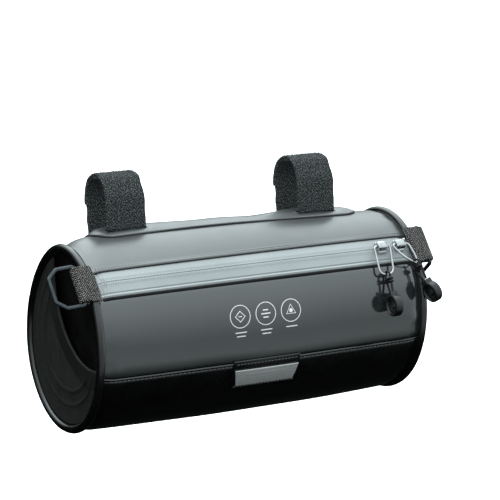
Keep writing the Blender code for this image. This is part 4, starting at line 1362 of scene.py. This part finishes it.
def add_print(shape, rows):
    """A film of ink between rows of (place along, arc up) pairs, round a closed or open run."""
    rows = np.asarray(rows, float)
    x, theta = rows[..., 0], PRINT_ANGLE + turn_of(rows[..., 1])
    tension = panel_tension(x, theta)
    shape.add_wall(shell(x, theta, tension + PRINT_LIFT), shell(x, theta, tension - PRINT_LIFT))


def make_prints():
    """Three ringed marks with plain shapes in them, and short bars below."""
    shape = Shape()

    def ring(x, radius, line, sides=72, start=0.0):
        run = np.linspace(0, 2 * pi, sides + 1) + start
        add_print(shape, [together(x + r * np.cos(run), r * np.sin(run))
                          for r in (radius - line, radius)])

    def bar(x, y, width, height):
        along = np.linspace(x - width / 2, x + width / 2, 8)
        add_print(shape, [together(along, np.full(8, y + s * height / 2)) for s in (-1, 1)])

    marks = (
        (((0.0040, 0.0007, 4, pi / 2),), ((0, 0.0026, 0.0006),), 2),
        ((), ((0.0024, 0.0040, 0.0008), (0.0, 0.0070, 0.0008), (-0.0024, 0.0040, 0.0008)), 2),
        (((0.0044, 0.0007, 3, pi / 2), (0.0014, 0.0013, 16)), (), 1),
    )
    for place, (rings, bars, lines) in zip(PRINT_PLACES, marks):
        ring(place, PRINT_RADIUS, PRINT_LINE)
        for sizes in rings:
            ring(place, *sizes)
        for sizes in bars:
            bar(place, *sizes)
        for line in range(lines):
            bar(place, -PRINT_RADIUS - 0.0030 - 0.0026 * line, 0.0086 - 0.002 * line, 0.0007)
    shape.piece("printed_marks", LOOKS["ink"])


# The stage

LIGHT_AIM = Vector((0, 0, -0.08))
SKY_AXIS = (0.0, 0.45, 0.89)
SKY_STRENGTH = 3.0
SKY_TINT = (0.89, 1.0, 1.02)
SKY_STOPS = ((-1.0, 0.006), (-0.88, 0.10), (-0.77, 0.54), (-0.58, 0.48), (-0.30, 0.80),
             (0.0, 1.12), (0.40, 1.35), (0.70, 1.45), (0.79, 1.55), (0.86, 2.5), (1.0, 2.9))

# Each darkened side of the studio: its axis, the span where the dark fades, and its level
DARK_BELOW = ((0.0, -0.5, 1.0), (-0.35, -0.10), 0.01)
DARK_LEFT = ((1.0, -0.6, 0.5), (-0.90, -0.20), 0.12)


def aim_at(made, place, direction):
    made.location = place
    made.rotation_mode = "QUATERNION"
    made.rotation_quaternion = direction.to_track_quat("-Z", "Y")


def make_floor():
    """A pale floor that lights nothing, so the bag stands before white."""
    mesh = bpy.data.meshes.new("floor")
    corners = [(x * FLOOR_HALF, y * FLOOR_HALF, CAD_BOX[0].z - FLOOR_DROP)
               for x, y in ((-1, -1), (1, -1), (1, 1), (-1, 1))]
    mesh.from_pydata(corners, [], [(0, 1, 2, 3)])
    floor = link(bpy.data.objects.new("floor", mesh))
    look, _, shader = new_look("pale_floor", Roughness=0.9)
    shader.inputs["Base Color"].default_value = (0.85, 0.85, 0.85, 1)
    shader.inputs["Emission Color"].default_value = (1, 1, 1, 1)
    shader.inputs["Emission Strength"].default_value = 0.95
    mesh.materials.append(look)
    floor.visible_glossy = False
    floor.visible_diffuse = False


def make_studio():
    """A studio that is bright overhead and dark below, white where the camera sees it."""
    world = bpy.data.worlds.new("studio")
    bpy.context.scene.world = world
    world.use_nodes = True
    tree = world.node_tree
    direction = add_node(tree, "TexCoord").outputs["Generated"]

    def share_along(axis, low, high, span):
        along = add_node(tree, "VectorMath", {1: axis}, {0: direction}, operation="DOT_PRODUCT")
        return spread_to(tree, along.outputs["Value"], low, high, *span)

    ramp = add_node(tree, "ValToRGB", links={"Fac": share_along(SKY_AXIS, 0, 1, (-1, 1))})
    band = ramp.color_ramp
    for k, (spot, value) in enumerate(SKY_STOPS):
        stop = band.elements[k] if k < 2 else band.elements.new((spot + 1) / 2)
        stop.position = (spot + 1) / 2
        level = value / SKY_STRENGTH
        stop.color = (*(level * part for part in SKY_TINT), 1)
    lit = combine(tree, "MULTIPLY", *(share_along(axis, darkest, 1, span)
                                      for axis, span, darkest in (DARK_BELOW, DARK_LEFT)))
    shade = add_node(tree, "VectorMath", links={0: ramp.outputs["Color"], "Scale": lit},
                     operation="SCALE")
    rays = add_node(tree, "LightPath").outputs["Is Camera Ray"]
    tint = add_node(tree, "Mix", data_type="RGBA")
    tint.inputs["B"].default_value = (1, 1, 1, 1)
    background = tree.nodes["Background"]
    for source, socket in (
            (rays, tint.inputs["Factor"]), (shade.outputs["Vector"], tint.inputs["A"]),
            (tint.outputs["Result"], background.inputs["Color"]),
            (spread_to(tree, rays, SKY_STRENGTH, 1.0, 0, 1), background.inputs["Strength"])):
        tree.links.new(source, socket)


def make_light(name, place, size, power):
    light = bpy.data.lights.new(name, "AREA")
    light.shape = "RECTANGLE"
    light.size, light.size_y = size
    light.energy = power
    lamp = link(bpy.data.objects.new(name, light))
    lamp.visible_glossy = False
    aim_at(lamp, place, LIGHT_AIM - Vector(place))


def make_camera():
    camera = link(bpy.data.objects.new("camera", bpy.data.cameras.new("camera")))
    a, e = radians(CAMERA_AZIMUTH), radians(CAMERA_ELEVATION)
    back = Vector((sin(a) * cos(e), -cos(a) * cos(e), sin(e)))
    aim_at(camera, CAMERA_AIM + back * CAMERA_DISTANCE, -back)
    camera.data.lens = CAMERA_LENS
    camera.data.sensor_width = 36.0
    camera.data.clip_start, camera.data.clip_end = 0.05, 60.0
    bpy.context.scene.camera = camera
    bpy.context.scene.view_settings.view_transform = "Standard"
    bpy.context.scene.view_settings.view_transform = "Standard"


def build():
    make_camera()
    make_floor()
    make_studio()
    make_light("overhead", (-0.1, -0.1, 1.3), (1.6, 1.0), 6.0)
    make_light("front_key", (-1.2, -1.5, 0.9), (0.9, 0.9), 5.0)
    make_wrap()
    make_seam_stitches()
    for side, label in ((-1, "left"), (1, "right")):
        make_edging(side, label)
        make_end(side, label)
        make_pocket(side, label)
        make_band(side * STRAP_SPACING / 2, label)
        make_loop(side, label)
        make_d_ring(side, label)
    make_strip()
    make_strip_edge()
    make_reflector()
    make_prints()
    for number, (pull, route) in enumerate(zip(PULLS, CORD_ROUTES), 1):
        label = str(number)
        make_slider(pull, label)
        foot = make_wire_loop(pull, label)
        make_cord(route, label, make_pull(route, label))


build()
